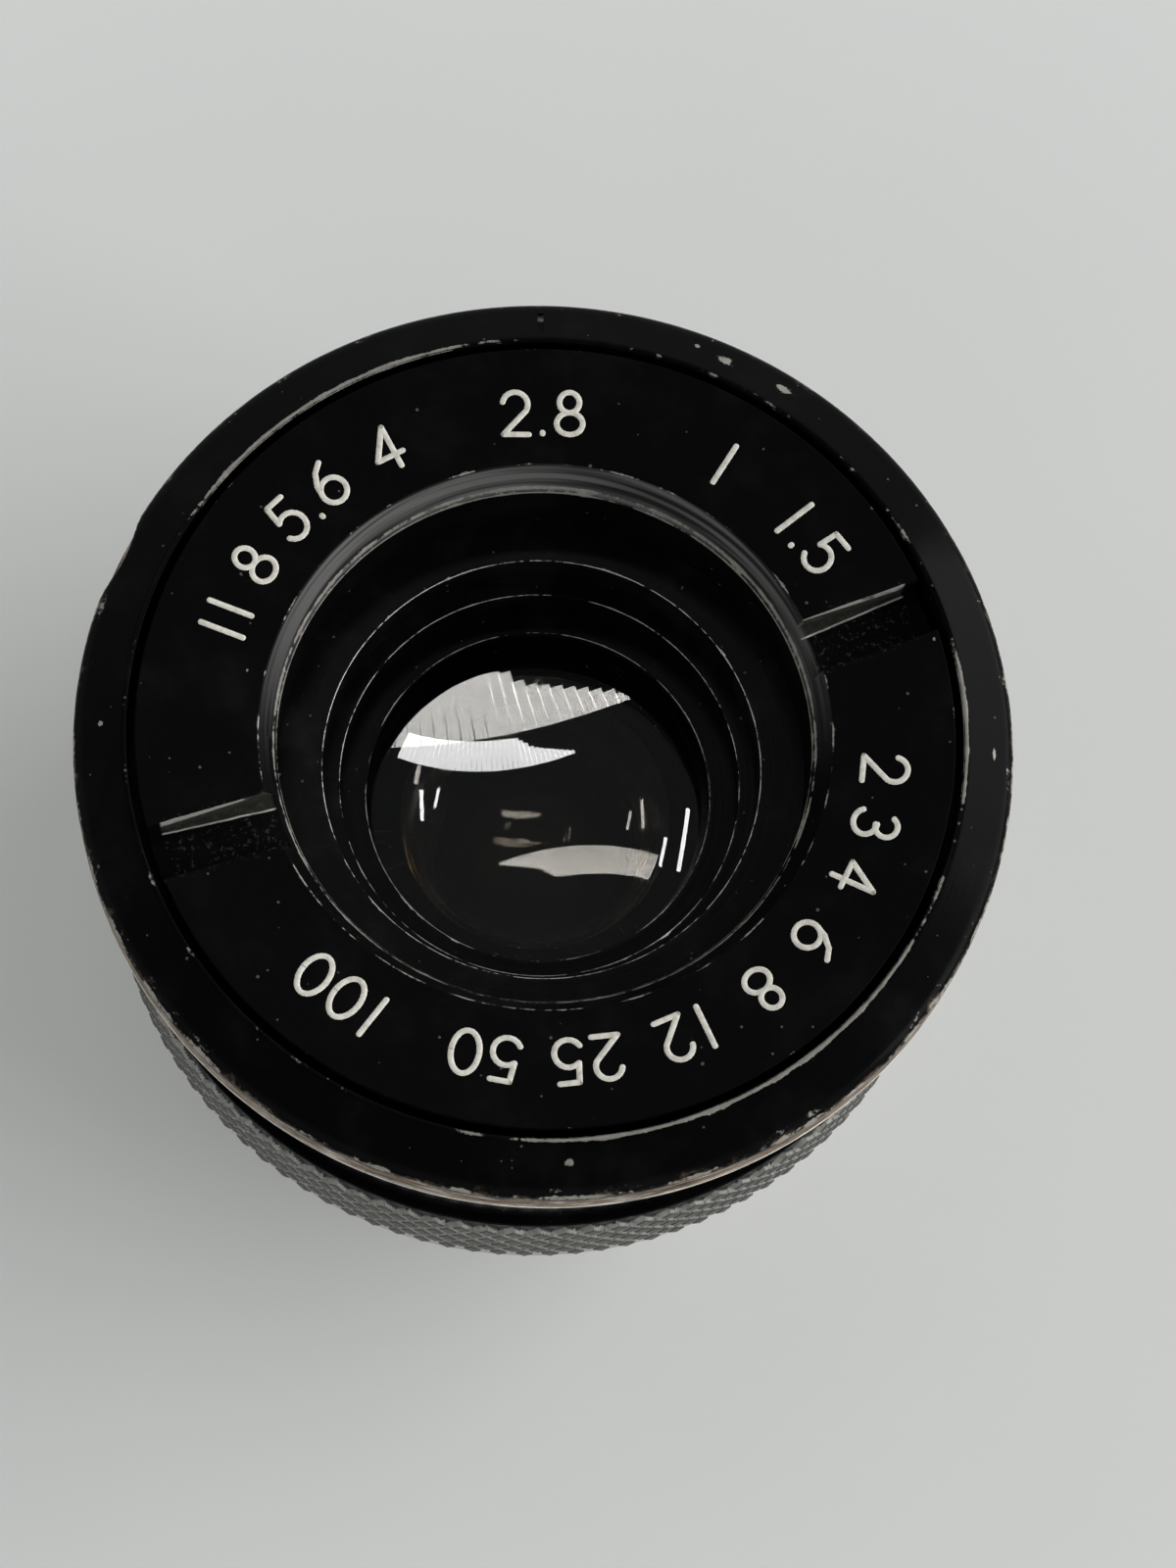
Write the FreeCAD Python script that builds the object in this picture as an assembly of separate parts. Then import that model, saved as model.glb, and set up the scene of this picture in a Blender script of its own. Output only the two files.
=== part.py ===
import FreeCAD, Part
import math
import os

Vector = FreeCAD.Vector

# A small three-glass cine lens, standing on the rear end of its screw mount.
# All sizes are millimetres. The origin is the middle of the rear end, +Z is the optical
# axis towards the subject, and angles are counted anticlockwise from +X, seen from the front.
# Radii are built up from the iris blades outwards, and heights from the seat and the front.

# Fits
running_gap = 0.05          # radial, a ring turning or sliding on a shaft
turning_gap = 0.08          # axial, faces that turn past each other
pin_gap = 0.05              # round a pin in its groove or a stud in its slot
glass_gap = 0.03            # round each glass and between the front glass and its lip
part_gap = 0.1              # between neighbours that never touch
cutter_reach = 1.0          # how far a cutting tool runs past the face it cuts

# Diaphragm
blade_count = 6
blade_inner_r = 3.9         # the open aperture
blade_pivot_width = 1.3     # from the open aperture to the circle of pivots
blade_rim = 0.8             # from the circle of pivots to the blades' outer edge
blade_end_r = 0.6
blade_thickness = 0.05
blade_tilt = 8.0            # degrees; each blade climbs, so that they stack in a spiral
blade_gap = 0.03            # between a blade and the faces above and below it
smallest_r = 0.8
pivot_stud_r = 0.28
drive_stud_r = 0.26
drive_slot_gap = 0.1
cage_clearance = 0.4        # blade tips to the cage wall
cage_ledge = 0.75           # ledge under the drive ring
cage_wall = 0.6
cage_floor = 0.45
cage_hole_gap = 0.05
drive_ring_web = 0.32       # between the drive ring's slots and its hole
cover_inset = 0.15          # the cover's hole stands back from the drive ring's
drive_ring_thickness = 0.35
drive_ring_room = 0.45
cover_thickness = 0.25

# Drive from the aperture ring to the diaphragm
drive_angle = 60.0
arm_width = 1.9
arm_thickness = 0.6
arm_clearance = 0.4         # front cell to the arm
arm_bore_gap = 0.25         # arm to the barrel's bore
arm_root = 0.5
drive_screw_r = 0.55
drive_head_r = 0.9
drive_head_height = 0.45
drive_screw_drop = 0.85     # below the barrel's front shoulder
driver_slot_width = 0.2
driver_slot_depth = 0.15

# Main barrel and what is screwed on it
cell_gap = 0.1              # front cell past the cage wall
cell_shoulder = 0.55
barrel_wall = 0.8
head_flange_width = 2.2
head_flange_height = 2.23
barrel_setback = 0.4        # rear cell above the barrel's rear edge
stop_ring_lap = 0.3         # stop ring past the barrel's flange
stop_ring_height = 0.82

# Mount sleeve
thread_length = 4.0
thread_r = 12.7
thread_chamfer = 0.4
relief_depth = 0.4
seat_inset = 0.25           # seat plate inside the focus ring's edge
seat_thickness = 0.7
sleeve_wall = 1.35
lock_step = 0.7
journal_height = 3.3
lock_ring_lap = 0.4
lock_ring_height = 0.55

# Focus ring, its nut and its stop
focus_travel = 1.1
focus_turn = 300.0
recess_clearance = 0.3      # lock ring to the focus ring's recess
grip_wall = 1.1
grip_height = 4.25
rim_height = 0.1
nut_flange_height = 0.33
nut_clearance = 0.7         # nut to the neck of the aperture ring
stop_pin_r = 0.3
stop_pin_offset = 0.7       # stop pin outside the journal
stop_pin_rise = 0.9
stop_pin_angle = 20.0

# Diamond knurl
knurl_count = 104
knurl_height = 1.14         # one diamond, tip to tip along the axis
knurl_depth = 0.22
knurl_margin = 0.12         # plain strip below the diamonds

# Key that keeps the head from turning
key_angle = 200.0
key_width = 1.5
key_height = 1.3
key_depth = 0.48            # into the barrel
key_plate_width = 2.6
key_plate_height = 2.8
key_plate_thickness = 0.6
key_screw_r = 0.3
key_above_seat = 1.65       # middle of the key above the seat plate

# Name ring
front_height = 14.0         # mount seat to the front plane
name_ring_lap = 0.3         # name ring past the barrel's flange
name_ring_height = 1.65
face_dish = 0.4
face_inner_r = 9.13
hood_r = 8.57
hood_edge_depth = 1.5
slot_angle = 18.7
slot_width = 1.8
slot_depth = 0.95

# Aperture ring
groove_width = 0.28
groove_chamfer = 0.08
rim_width = 1.72
rim_bevel = 0.72            # fall of the bevelled face
rim_round = 0.2             # worn corner between the bevel and the wall
rim_wall_height = 2.45      # front plane to the lower edge of the wall
rim_foot_chamfer = 0.12
neck_wall = 0.8
neck_gap = 0.17             # above the focus ring
index_angle = 90.0
index_width = 0.2
index_depth = 0.12
index_length = 0.95
index_inset = 0.35
dent_angle = 156.0
dent_width = 3.7
dent_depth = 0.3
dent_height = 1.5

# Front cell with its stepped hood
step_1_r = 7.14
step_1_depth = 4.0
step_2_r = 6.58
step_2_depth = 5.75
step_3_r = 5.72
step_3_depth = 7.1
lip_thickness = 0.44
cell_flange_height = 0.9
cell_length = 7.6

# Glass
front_curve = 28.0
front_rear_curve = 34.0
front_glass_r = 6.27
front_glass_thickness = 1.9
middle_front_curve = 25.0
middle_rear_curve = 11.1
middle_clear_r = 4.2
middle_glass_r = 4.9
middle_glass_thickness = 0.5
middle_seat_r = 4.4
middle_mouth_r = 5.4
rear_front_curve = 44.0
rear_rear_curve = 10.2
rear_glass_r = 4.8
rear_glass_thickness = 1.9
lock_rim = 0.4

# Rear cell
rear_cell_height = 1.5
rear_lip = 0.3
rear_lip_r = 4.3
rear_lock_width = 0.8
rear_lock_inner_r = 4.5
rear_lock_flare = 0.2
rear_lock_relief = 0.12     # keeps the lock ring's bore off the glass


def sag(curve, radius):
    """Depth of a spherical face at a radius."""
    return curve - math.sqrt(curve * curve - radius * radius)


# Blade places and angles: the blade turns half as far as the ring that drives it
blade_pivot_r = blade_inner_r + blade_pivot_width
blade_outer_r = blade_pivot_r + blade_rim
blade_turn = 2 * math.degrees(math.asin((blade_inner_r - smallest_r) / (2 * blade_pivot_r)))
blade_span = 180.0 - blade_turn
blade_chord = 2 * blade_pivot_r * math.cos(math.radians(blade_turn / 2))
blade_slope = math.tan(math.radians(blade_tilt))
blade_lift = blade_slope * (blade_outer_r - blade_pivot_r) + blade_thickness / 2 + blade_gap
blade_room = blade_slope * blade_chord + 2 * blade_lift
aperture_turn = 2 * blade_turn
drive_slot_half = drive_stud_r + drive_slot_gap
drive_slot_end = blade_chord - blade_pivot_r
drive_ring_bore_r = drive_slot_end - drive_slot_half - drive_ring_web

# Radii, from the blades outwards
cage_bore_r = blade_outer_r + cage_clearance
cage_ledge_r = cage_bore_r + cage_ledge
cage_r = cage_ledge_r + running_gap + cage_wall
cell_r = cage_r + cell_gap
arm_r_in = cell_r + arm_clearance
arm_r_out = arm_r_in + arm_thickness
arm_bore_r = arm_r_out + arm_bore_gap
cell_bore_r = arm_bore_r + cell_shoulder
barrel_r = cell_bore_r + barrel_wall
sleeve_bore_r = barrel_r + running_gap
lock_step_r = sleeve_bore_r + sleeve_wall
journal_r = lock_step_r + lock_step
lock_ring_r = journal_r + lock_ring_lap
recess_r = lock_ring_r + recess_clearance
grip_r = recess_r + grip_wall
seat_r = grip_r - seat_inset
stop_pin_at_r = journal_r + stop_pin_offset
head_flange_r = barrel_r + head_flange_width
stop_ring_r = head_flange_r + stop_ring_lap
neck_bore_r = stop_ring_r + part_gap
neck_r = neck_bore_r + neck_wall
name_ring_r = head_flange_r + name_ring_lap
groove_r = name_ring_r + groove_width
rim_r = groove_r + rim_width
nut_r = neck_bore_r - nut_clearance

# Heights, from the seat and from the front plane
z_seat = thread_length
z_plate = z_seat + seat_thickness
z_front = z_seat + front_height
z_grip = z_plate + turning_gap
z_grip_top = z_grip + grip_height
z_journal = z_plate + journal_height
z_journal_top = z_journal + lock_ring_height
z_key = z_plate + key_above_seat
z_hood_floor = z_front - step_1_depth
z_shoulder = z_hood_floor - cell_flange_height
z_flange_top = z_front - name_ring_height
z_flange = z_flange_top - head_flange_height
z_cell = z_shoulder - cell_length
z_ring_ledge = z_cell - cover_thickness - drive_ring_room
z_cage_floor = z_ring_ledge - blade_room
z_cage = z_cage_floor - cage_floor
z_rear_cell = z_cage - rear_cell_height
z_barrel = z_rear_cell - barrel_setback
z_screw = z_shoulder - drive_screw_drop
z_lip = z_front - step_3_depth - lip_thickness
z_front_glass = z_lip - glass_gap + sag(front_curve, step_3_r)
z_front_glass_rear = z_front_glass - front_glass_thickness
z_middle_cell_top = z_front_glass_rear - sag(front_rear_curve, front_glass_r)
z_middle_cell = z_cell + lock_rim


def polar(radius, degrees, z=0.0):
    """Point at a radius and angle."""
    angle = math.radians(degrees)
    return Vector(radius * math.cos(angle), radius * math.sin(angle), z)


def turned(points, start=0.0, sweep=360.0):
    """Solid turned from a closed outline of (radius, height) points."""
    corners = [Vector(r, 0, z) for r, z in points]
    face = Part.Face(Part.makePolygon(corners + corners[:1]))
    solid = face.revolve(Vector(), Vector(0, 0, 1), sweep)
    solid.rotate(Vector(), Vector(0, 0, 1), start)
    return solid


def ring(inner_r, outer_r, z_low, z_high):
    return turned([(inner_r, z_low), (outer_r, z_low), (outer_r, z_high), (inner_r, z_high)])


def sector(inner_r, outer_r, z_low, z_high, start, end):
    outline = [(inner_r, z_low), (outer_r, z_low), (outer_r, z_high), (inner_r, z_high)]
    return turned(outline, start, end - start)


def post(radius, at, z_low, z_high):
    return Part.makeCylinder(radius, z_high - z_low, Vector(at.x, at.y, z_low))


def spoke(radius, degrees, z, inner, outer):
    """Round bar that points outwards from the axis at a height."""
    direction = polar(1, degrees)
    return Part.makeCylinder(radius, outer - inner, polar(inner, degrees, z), direction)


def block(width, inner, outer, z_low, z_high, degrees):
    """Block of a width that reaches from one radius to another."""
    shape = Part.makeBox(outer - inner, width, z_high - z_low, Vector(inner, -width / 2, z_low))
    shape.rotate(Vector(), Vector(0, 0, 1), degrees)
    return shape


def dome(curve, radius, z_vertex, lift):
    """Arc from the axis to a radius; lift is 1 where it rises outwards and -1 where it falls."""
    middle = radius / 2
    return Part.Arc(Vector(0, 0, z_vertex),
                    Vector(middle, 0, z_vertex + lift * sag(curve, middle)),
                    Vector(radius, 0, z_vertex + lift * sag(curve, radius))).toShape()


def turned_edges(edges):
    face = Part.Face(Part.Wire(Part.__sortEdges__(edges)))
    return face.revolve(Vector(), Vector(0, 0, 1), 360)


def lines(points):
    return [Part.makeLine(Vector(a[0], 0, a[1]), Vector(b[0], 0, b[1]))
            for a, b in zip(points, points[1:])]


# Fixed mount

def key_screw_heights():
    reach = (key_height + key_plate_height) / 4
    return [z_key - reach, z_key + reach]


def key_tongue(width, inner, outer):
    return block(width, inner, outer, z_key - key_height / 2, z_key + key_height / 2, key_angle)


def key_plate(inner, outer):
    return block(key_plate_width, inner, outer, z_key - key_plate_height / 2,
                 z_key + key_plate_height / 2, key_angle)


key_plate_r = journal_r - key_plate_thickness - running_gap
key_screw_root_r = sleeve_bore_r + part_gap


def mount_sleeve():
    relief_r = thread_r - relief_depth
    z_relief = z_seat - 2 * relief_depth
    sleeve = turned([
        (sleeve_bore_r, 0), (thread_r - thread_chamfer, 0), (thread_r, thread_chamfer),
        (thread_r, z_relief - relief_depth), (relief_r, z_relief),
        (relief_r, z_seat - relief_depth), (thread_r, z_seat), (seat_r, z_seat),
        (seat_r, z_plate), (journal_r, z_plate), (journal_r, z_journal),
        (lock_step_r, z_journal), (lock_step_r, z_journal_top), (sleeve_bore_r, z_journal_top)])
    outside = journal_r + cutter_reach
    sleeve = sleeve.cut(key_tongue(key_width, sleeve_bore_r - cutter_reach, outside))
    sleeve = sleeve.cut(key_plate(key_plate_r, outside))
    for z in key_screw_heights():
        sleeve = sleeve.cut(spoke(key_screw_r, key_angle, z, key_screw_root_r, journal_r))
    return sleeve.cut(post(stop_pin_r, polar(stop_pin_at_r, stop_pin_angle), z_seat, z_plate))


def guide_key():
    plate = key_plate(key_plate_r, key_plate_r + key_plate_thickness)
    plate = plate.common(ring(key_plate_r - cutter_reach, journal_r - running_gap, 0, z_front))
    key = plate.fuse(key_tongue(key_width, barrel_r - key_depth, key_plate_r)).removeSplitter()
    for z in key_screw_heights():
        key = key.cut(spoke(key_screw_r, key_angle, z, key_plate_r, journal_r))
    return key


def guide_screws():
    outer = journal_r - 2 * running_gap
    return Part.makeCompound([spoke(key_screw_r, key_angle, z, key_screw_root_r, outer)
                              for z in key_screw_heights()])


def stop_pin():
    at = polar(stop_pin_at_r, stop_pin_angle)
    return post(stop_pin_r, at, z_seat, z_plate + stop_pin_rise)


def focus_lock_ring():
    return ring(lock_step_r, lock_ring_r, z_journal, z_journal_top)


# Focus ring and the nut that moves the head

def diamond_sleeve(inner_r, z_low, z_high):
    """Ring with a diamond knurl: its tips stand at grip_r and the grooves cross below them."""
    root_r = grip_r - knurl_depth
    row_count = round(2 * (z_high - z_low) / knurl_height)
    row_step = (z_high - z_low) / row_count
    column_count = 2 * knurl_count

    def corner(row, column):
        radius = grip_r if (row + column) % 2 == 0 else root_r
        return polar(radius, column * 360.0 / column_count, z_low + row * row_step)

    def facet(*corners):
        return Part.Face(Part.makePolygon(corners + corners[:1]))

    facets = []
    for row in range(row_count):
        for column in range(column_count):
            low_a = corner(row, column)
            low_b = corner(row, column + 1)
            high_a = corner(row + 1, column)
            high_b = corner(row + 1, column + 1)
            if (row + column) % 2 == 0:
                facets += [facet(low_a, low_b, high_a), facet(low_b, high_b, high_a)]
            else:
                facets += [facet(low_a, low_b, high_b), facet(low_a, high_b, high_a)]
    for row in (0, row_count):
        facets.append(facet(*[corner(row, column) for column in range(column_count)]))
    shell = Part.Shell(facets)
    shell.sewShape()
    plug = Part.Solid(shell)
    if plug.Volume < 0:
        plug.reverse()
    return plug.cut(post(inner_r, Vector(), z_low - cutter_reach, z_high + cutter_reach))


def focus_ring():
    bore = journal_r + running_gap
    z_ledge = z_journal - turning_gap
    z_rim = z_grip_top - rim_height
    z_knurl = z_grip + knurl_margin
    root_r = grip_r - knurl_depth
    band_r = root_r - knurl_depth
    body = turned([
        (bore, z_grip), (root_r - knurl_margin, z_grip), (root_r, z_knurl), (band_r, z_knurl),
        (band_r, z_rim), (root_r, z_rim), (root_r, z_grip_top), (recess_r, z_grip_top),
        (recess_r, z_ledge), (bore, z_ledge)])
    grip = body.fuse(diamond_sleeve(band_r, z_knurl, z_rim))
    half = stop_pin_r + pin_gap
    spare = math.degrees(half / stop_pin_at_r)
    groove = sector(stop_pin_at_r - half, stop_pin_at_r + half, z_grip - cutter_reach,
                    z_plate + stop_pin_rise + turning_gap,
                    stop_pin_angle - focus_turn - spare, stop_pin_angle + spare)
    return grip.cut(groove)


def helicoid_nut():
    z_low = z_journal_top + turning_gap
    z_flange_face = z_low + nut_flange_height
    z_top = z_screw - drive_screw_r - 2 * pin_gap - turning_gap
    return turned([(sleeve_bore_r, z_low), (recess_r, z_low), (recess_r, z_flange_face),
                   (nut_r, z_flange_face), (nut_r, z_top), (sleeve_bore_r, z_top)])


# Head: barrel, rings and glass

def main_barrel():
    barrel = turned([
        (cell_bore_r, z_barrel), (barrel_r, z_barrel), (barrel_r, z_flange),
        (head_flange_r, z_flange), (head_flange_r, z_flange_top), (cell_bore_r, z_flange_top),
        (cell_bore_r, z_shoulder), (arm_bore_r, z_shoulder), (arm_bore_r, z_cage_floor),
        (cell_bore_r, z_cage_floor)])
    groove = block(key_width + 2 * running_gap, barrel_r - key_depth - running_gap,
                   barrel_r + cutter_reach, z_barrel - cutter_reach,
                   z_key + key_height / 2 + turning_gap, key_angle)
    half = drive_screw_r + pin_gap
    spare = math.degrees(math.asin((half + pin_gap) / arm_bore_r))
    slot = sector(arm_bore_r - cutter_reach, barrel_r + cutter_reach, z_screw - half,
                  z_screw + half, drive_angle - spare, drive_angle + aperture_turn + spare)
    return barrel.cut(groove).cut(slot)


def name_ring():
    disc = turned([
        (hood_r, z_hood_floor), (hood_r, z_front - hood_edge_depth),
        (face_inner_r, z_front - face_dish), (name_ring_r, z_front),
        (name_ring_r, z_flange_top), (cell_bore_r, z_flange_top), (cell_bore_r, z_hood_floor)])
    return disc.cut(block(slot_width, -rim_r, rim_r, z_front - slot_depth,
                          z_front + cutter_reach, slot_angle))


def front_cell():
    bore = front_glass_r + glass_gap
    z_step_2 = z_front - step_2_depth
    z_step_3 = z_front - step_3_depth
    return turned([
        (step_1_r, z_hood_floor), (step_1_r, z_step_2), (step_2_r, z_step_2),
        (step_2_r, z_step_3), (step_3_r, z_step_3), (step_3_r, z_lip), (bore, z_lip),
        (bore, z_cell), (cell_r, z_cell),
        (cell_r, z_shoulder), (cell_bore_r, z_shoulder), (cell_bore_r, z_hood_floor)])


def front_element():
    z_rim = z_front_glass - sag(front_curve, front_glass_r)
    edges = [dome(front_curve, front_glass_r, z_front_glass, -1),
             dome(front_rear_curve, front_glass_r, z_front_glass_rear, -1)]
    edges += lines([(front_glass_r, z_rim), (front_glass_r, z_middle_cell_top)])
    edges += lines([(0, z_front_glass_rear), (0, z_front_glass)])
    return turned_edges(edges)


def middle_heights():
    z_rear_vertex = z_middle_cell + sag(middle_rear_curve, middle_clear_r)
    z_front_vertex = z_rear_vertex + middle_glass_thickness
    return z_rear_vertex, z_front_vertex, z_front_vertex + sag(middle_front_curve, middle_clear_r)


def middle_element():
    z_rear_vertex, z_front_vertex, z_rim = middle_heights()
    edges = [dome(middle_front_curve, middle_clear_r, z_front_vertex, 1),
             dome(middle_rear_curve, middle_clear_r, z_rear_vertex, -1)]
    edges += lines([(middle_clear_r, z_rim), (middle_glass_r, z_rim),
                    (middle_glass_r, z_middle_cell), (middle_clear_r, z_middle_cell)])
    edges += lines([(0, z_rear_vertex), (0, z_front_vertex)])
    return turned_edges(edges)


def middle_cell():
    outer = front_glass_r + glass_gap
    bore = middle_glass_r + glass_gap
    z_rim = middle_heights()[2]
    return turned([(bore, z_middle_cell), (outer, z_middle_cell), (outer, z_middle_cell_top),
                   (middle_mouth_r, z_middle_cell_top), (middle_seat_r, z_rim), (bore, z_rim)])


def front_lock_ring():
    return ring(middle_seat_r, front_glass_r + glass_gap, z_cell, z_middle_cell)


def aperture_stop_ring():
    return ring(barrel_r, stop_ring_r, z_flange - stop_ring_height, z_flange)


def rear_cell():
    bore = rear_glass_r + glass_gap
    z_rear_lip = z_cage - rear_lip
    z_lock = rear_lock_height()
    lock_r = bore + rear_lock_width
    return turned([
        (rear_lip_r, z_cage), (cell_bore_r, z_cage), (cell_bore_r, z_rear_cell),
        (lock_r, z_rear_cell), (lock_r, z_lock), (bore, z_lock), (bore, z_rear_lip),
        (rear_lip_r, z_rear_lip)])


def rear_vertex():
    return z_cage - rear_lip + sag(rear_front_curve, rear_lip_r) - rear_glass_thickness


def rear_lock_height():
    return rear_vertex() + sag(rear_rear_curve, rear_glass_r)


def rear_element():
    z_rear = rear_vertex()
    z_fore = z_rear + rear_glass_thickness
    edges = [dome(rear_front_curve, rear_glass_r, z_fore, -1),
             dome(rear_rear_curve, rear_glass_r, z_rear, 1)]
    edges += lines([(rear_glass_r, z_fore - sag(rear_front_curve, rear_glass_r)),
                    (rear_glass_r, rear_lock_height())])
    edges += lines([(0, z_rear), (0, z_fore)])
    return turned_edges(edges)


def rear_lock_ring():
    bore = rear_glass_r + glass_gap
    z_top = rear_lock_height()
    z_inner = rear_vertex() + sag(rear_rear_curve, rear_lock_inner_r) - rear_lock_relief
    return turned([(bore, z_top), (bore + rear_lock_width, z_top),
                   (bore + rear_lock_width, z_rear_cell),
                   (rear_lock_inner_r + rear_lock_flare, z_rear_cell),
                   (rear_lock_inner_r, z_inner)])


# Aperture ring and its drive

def aperture_ring():
    bore = head_flange_r + running_gap
    z_ledge = z_flange_top - turning_gap
    z_stop = z_flange + turning_gap
    z_wall = z_front - rim_wall_height
    z_neck = z_grip_top + neck_gap
    face_r = groove_r + groove_chamfer
    corner_r = rim_r - rim_round
    z_corner = z_front - rim_bevel
    body = turned([
        (bore, z_ledge), (groove_r, z_ledge), (groove_r, z_front - groove_chamfer),
        (face_r, z_front), (corner_r, z_corner),
        (rim_r - rim_round / 4, z_corner - rim_round / 2), (rim_r, z_corner - 5 * rim_round / 4),
        (rim_r, z_wall + rim_foot_chamfer), (rim_r - rim_foot_chamfer, z_wall),
        (neck_r, z_wall), (neck_r, z_neck), (neck_bore_r, z_neck), (neck_bore_r, z_stop),
        (bore, z_stop)])
    slope = math.degrees(math.atan2(rim_bevel, corner_r - face_r))
    index = Part.makeBox(index_length, index_width, index_depth + cutter_reach,
                         Vector(index_inset, -index_width / 2, -index_depth))
    index.rotate(Vector(), Vector(0, 1, 0), slope)
    index.translate(Vector(face_r, 0, z_front))
    index.rotate(Vector(), Vector(0, 0, 1), index_angle)
    hollow = dent_depth - sag(rim_r, dent_width / 2)
    dent_r = dent_width * dent_width / (8 * hollow)
    dent = post(dent_r, polar(rim_r - dent_depth + dent_r, dent_angle),
                z_front - dent_height, z_front + cutter_reach)
    outside = neck_r + cutter_reach
    hole = spoke(drive_screw_r, drive_angle, z_screw, neck_bore_r - neck_wall, outside)
    head = spoke(drive_head_r, drive_angle, z_screw, neck_r - drive_head_height, outside)
    return body.cut(index).cut(dent).cut(hole).cut(head)


def drive_screw():
    under_head = neck_r - drive_head_height
    stem = spoke(drive_screw_r, drive_angle, z_screw, arm_r_in, under_head)
    head = spoke(drive_head_r, drive_angle, z_screw, under_head, neck_r)
    head = head.common(ring(barrel_r, neck_r - running_gap, 0, z_front))
    notch = block(2 * drive_head_r, neck_r - driver_slot_depth - running_gap, neck_r,
                  z_screw - driver_slot_width / 2, z_screw + driver_slot_width / 2, drive_angle)
    return stem.fuse(head).cut(notch)


def iris_drive_ring():
    z_low = z_ring_ledge + pin_gap
    z_high = z_low + drive_ring_thickness
    z_top = z_shoulder - turning_gap
    plate = ring(drive_ring_bore_r, cage_ledge_r, z_low, z_high)
    cut_low = z_low - cutter_reach
    cut_high = z_high + cutter_reach
    for index in range(blade_count):
        angle = blade_span + index * 360.0 / blade_count
        slot = block(2 * drive_slot_half, drive_slot_end, blade_pivot_r, cut_low, cut_high, angle)
        for radius in (drive_slot_end, blade_pivot_r):
            slot = slot.fuse(post(drive_slot_half, polar(radius, angle), cut_low, cut_high))
        plate = plate.cut(slot)
    root_r = cage_ledge_r - arm_root
    arm = block(arm_width, root_r, arm_r_out, z_low, z_high, drive_angle)
    riser = block(arm_width, arm_r_in, arm_r_out, z_low, z_top, drive_angle)
    fork = block(2 * (drive_screw_r + running_gap / 2), arm_r_in - cutter_reach,
                 arm_r_out + cutter_reach, z_screw - drive_screw_r - pin_gap, z_shoulder,
                 drive_angle)
    bent = arm.fuse(riser).common(ring(root_r, arm_r_out, z_low, z_top))
    return plate.fuse(bent).cut(fork)


# Diaphragm

def iris_cage():
    z_wall = z_cell - cover_thickness
    hole_r = blade_inner_r + cage_hole_gap
    seat_bore = cage_ledge_r + running_gap
    cage = turned([
        (hole_r, z_cage), (cell_bore_r, z_cage), (cell_bore_r, z_cage_floor),
        (cage_r, z_cage_floor), (cage_r, z_wall), (seat_bore, z_wall),
        (seat_bore, z_ring_ledge), (cage_bore_r, z_ring_ledge),
        (cage_bore_r, z_cage_floor), (hole_r, z_cage_floor)])
    for index in range(blade_count):
        at = polar(blade_pivot_r, index * 360.0 / blade_count)
        cage = cage.cut(post(pivot_stud_r + pin_gap, at, z_cage - cutter_reach,
                             z_cage_floor + cage_hole_gap))
    spare = math.degrees(math.asin((arm_width / 2 + part_gap) / cage_ledge_r))
    notch = sector(cage_bore_r + cage_ledge / 2, cage_r + cutter_reach, z_ring_ledge,
                   z_wall + cutter_reach, drive_angle - spare,
                   drive_angle + aperture_turn + spare)
    return cage.cut(notch)


def iris_cover():
    return ring(drive_ring_bore_r + cover_inset, cage_r, z_cell - cover_thickness, z_cell)


def iris_blade():
    """One blade in its open place, its pivot on +X, with a stud at each end."""
    pivot = polar(blade_pivot_r, 0)
    driven = polar(blade_pivot_r, blade_span)
    outline = sector(blade_inner_r, blade_outer_r, z_cage, z_cell, 0, blade_span)
    outline = outline.fuse(post(blade_end_r, pivot, z_cage, z_cell))
    outline = outline.fuse(post(blade_end_r, driven, z_cage, z_cell))
    tilt = FreeCAD.Rotation(Vector(0, 1, 0), -blade_tilt)
    turn = FreeCAD.Rotation(Vector(0, 0, 1), 90.0 + blade_span / 2)
    base = Vector(pivot.x, pivot.y, z_cage_floor + blade_lift)
    place = FreeCAD.Placement(base, turn * tilt)
    reach = 3 * blade_pivot_r
    slab = Part.makeBox(2 * reach, 2 * reach, blade_thickness,
                        Vector(-reach, -reach, -blade_thickness / 2))
    below = Part.makeBox(2 * reach, 2 * reach, reach, Vector(-reach, -reach, -reach))
    above = Part.makeBox(2 * reach, 2 * reach, reach, Vector(-reach, -reach, 0))
    for tool in (slab, below, above):
        tool.Placement = place
    z_stud_top = z_ring_ledge + pin_gap + drive_ring_thickness
    stud_low = post(pivot_stud_r, pivot, z_cage + pin_gap, z_cell).common(below)
    stud_high = post(drive_stud_r, driven, z_cage, z_stud_top).common(above)
    return outline.common(slab).fuse(stud_low).fuse(stud_high)


nodes = {
    "mount_sleeve": mount_sleeve(),
    "guide_key": guide_key(),
    "guide_screws": guide_screws(),
    "stop_pin": stop_pin(),
    "focus_lock_ring": focus_lock_ring(),
    "focus_ring": focus_ring(),
    "helicoid_nut": helicoid_nut(),
    "main_barrel": main_barrel(),
    "name_ring": name_ring(),
    "front_cell": front_cell(),
    "front_element": front_element(),
    "middle_cell": middle_cell(),
    "middle_element": middle_element(),
    "front_lock_ring": front_lock_ring(),
    "aperture_stop_ring": aperture_stop_ring(),
    "rear_cell": rear_cell(),
    "rear_element": rear_element(),
    "rear_lock_ring": rear_lock_ring(),
    "aperture_ring": aperture_ring(),
    "drive_screw": drive_screw(),
    "iris_drive_ring": iris_drive_ring(),
    "iris_cage": iris_cage(),
    "iris_cover": iris_cover(),
}
for number in range(blade_count):
    blade = iris_blade()
    blade.rotate(Vector(), Vector(0, 0, 1), number * 360.0 / blade_count)
    nodes["iris_blade_%d" % (number + 1)] = blade

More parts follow.
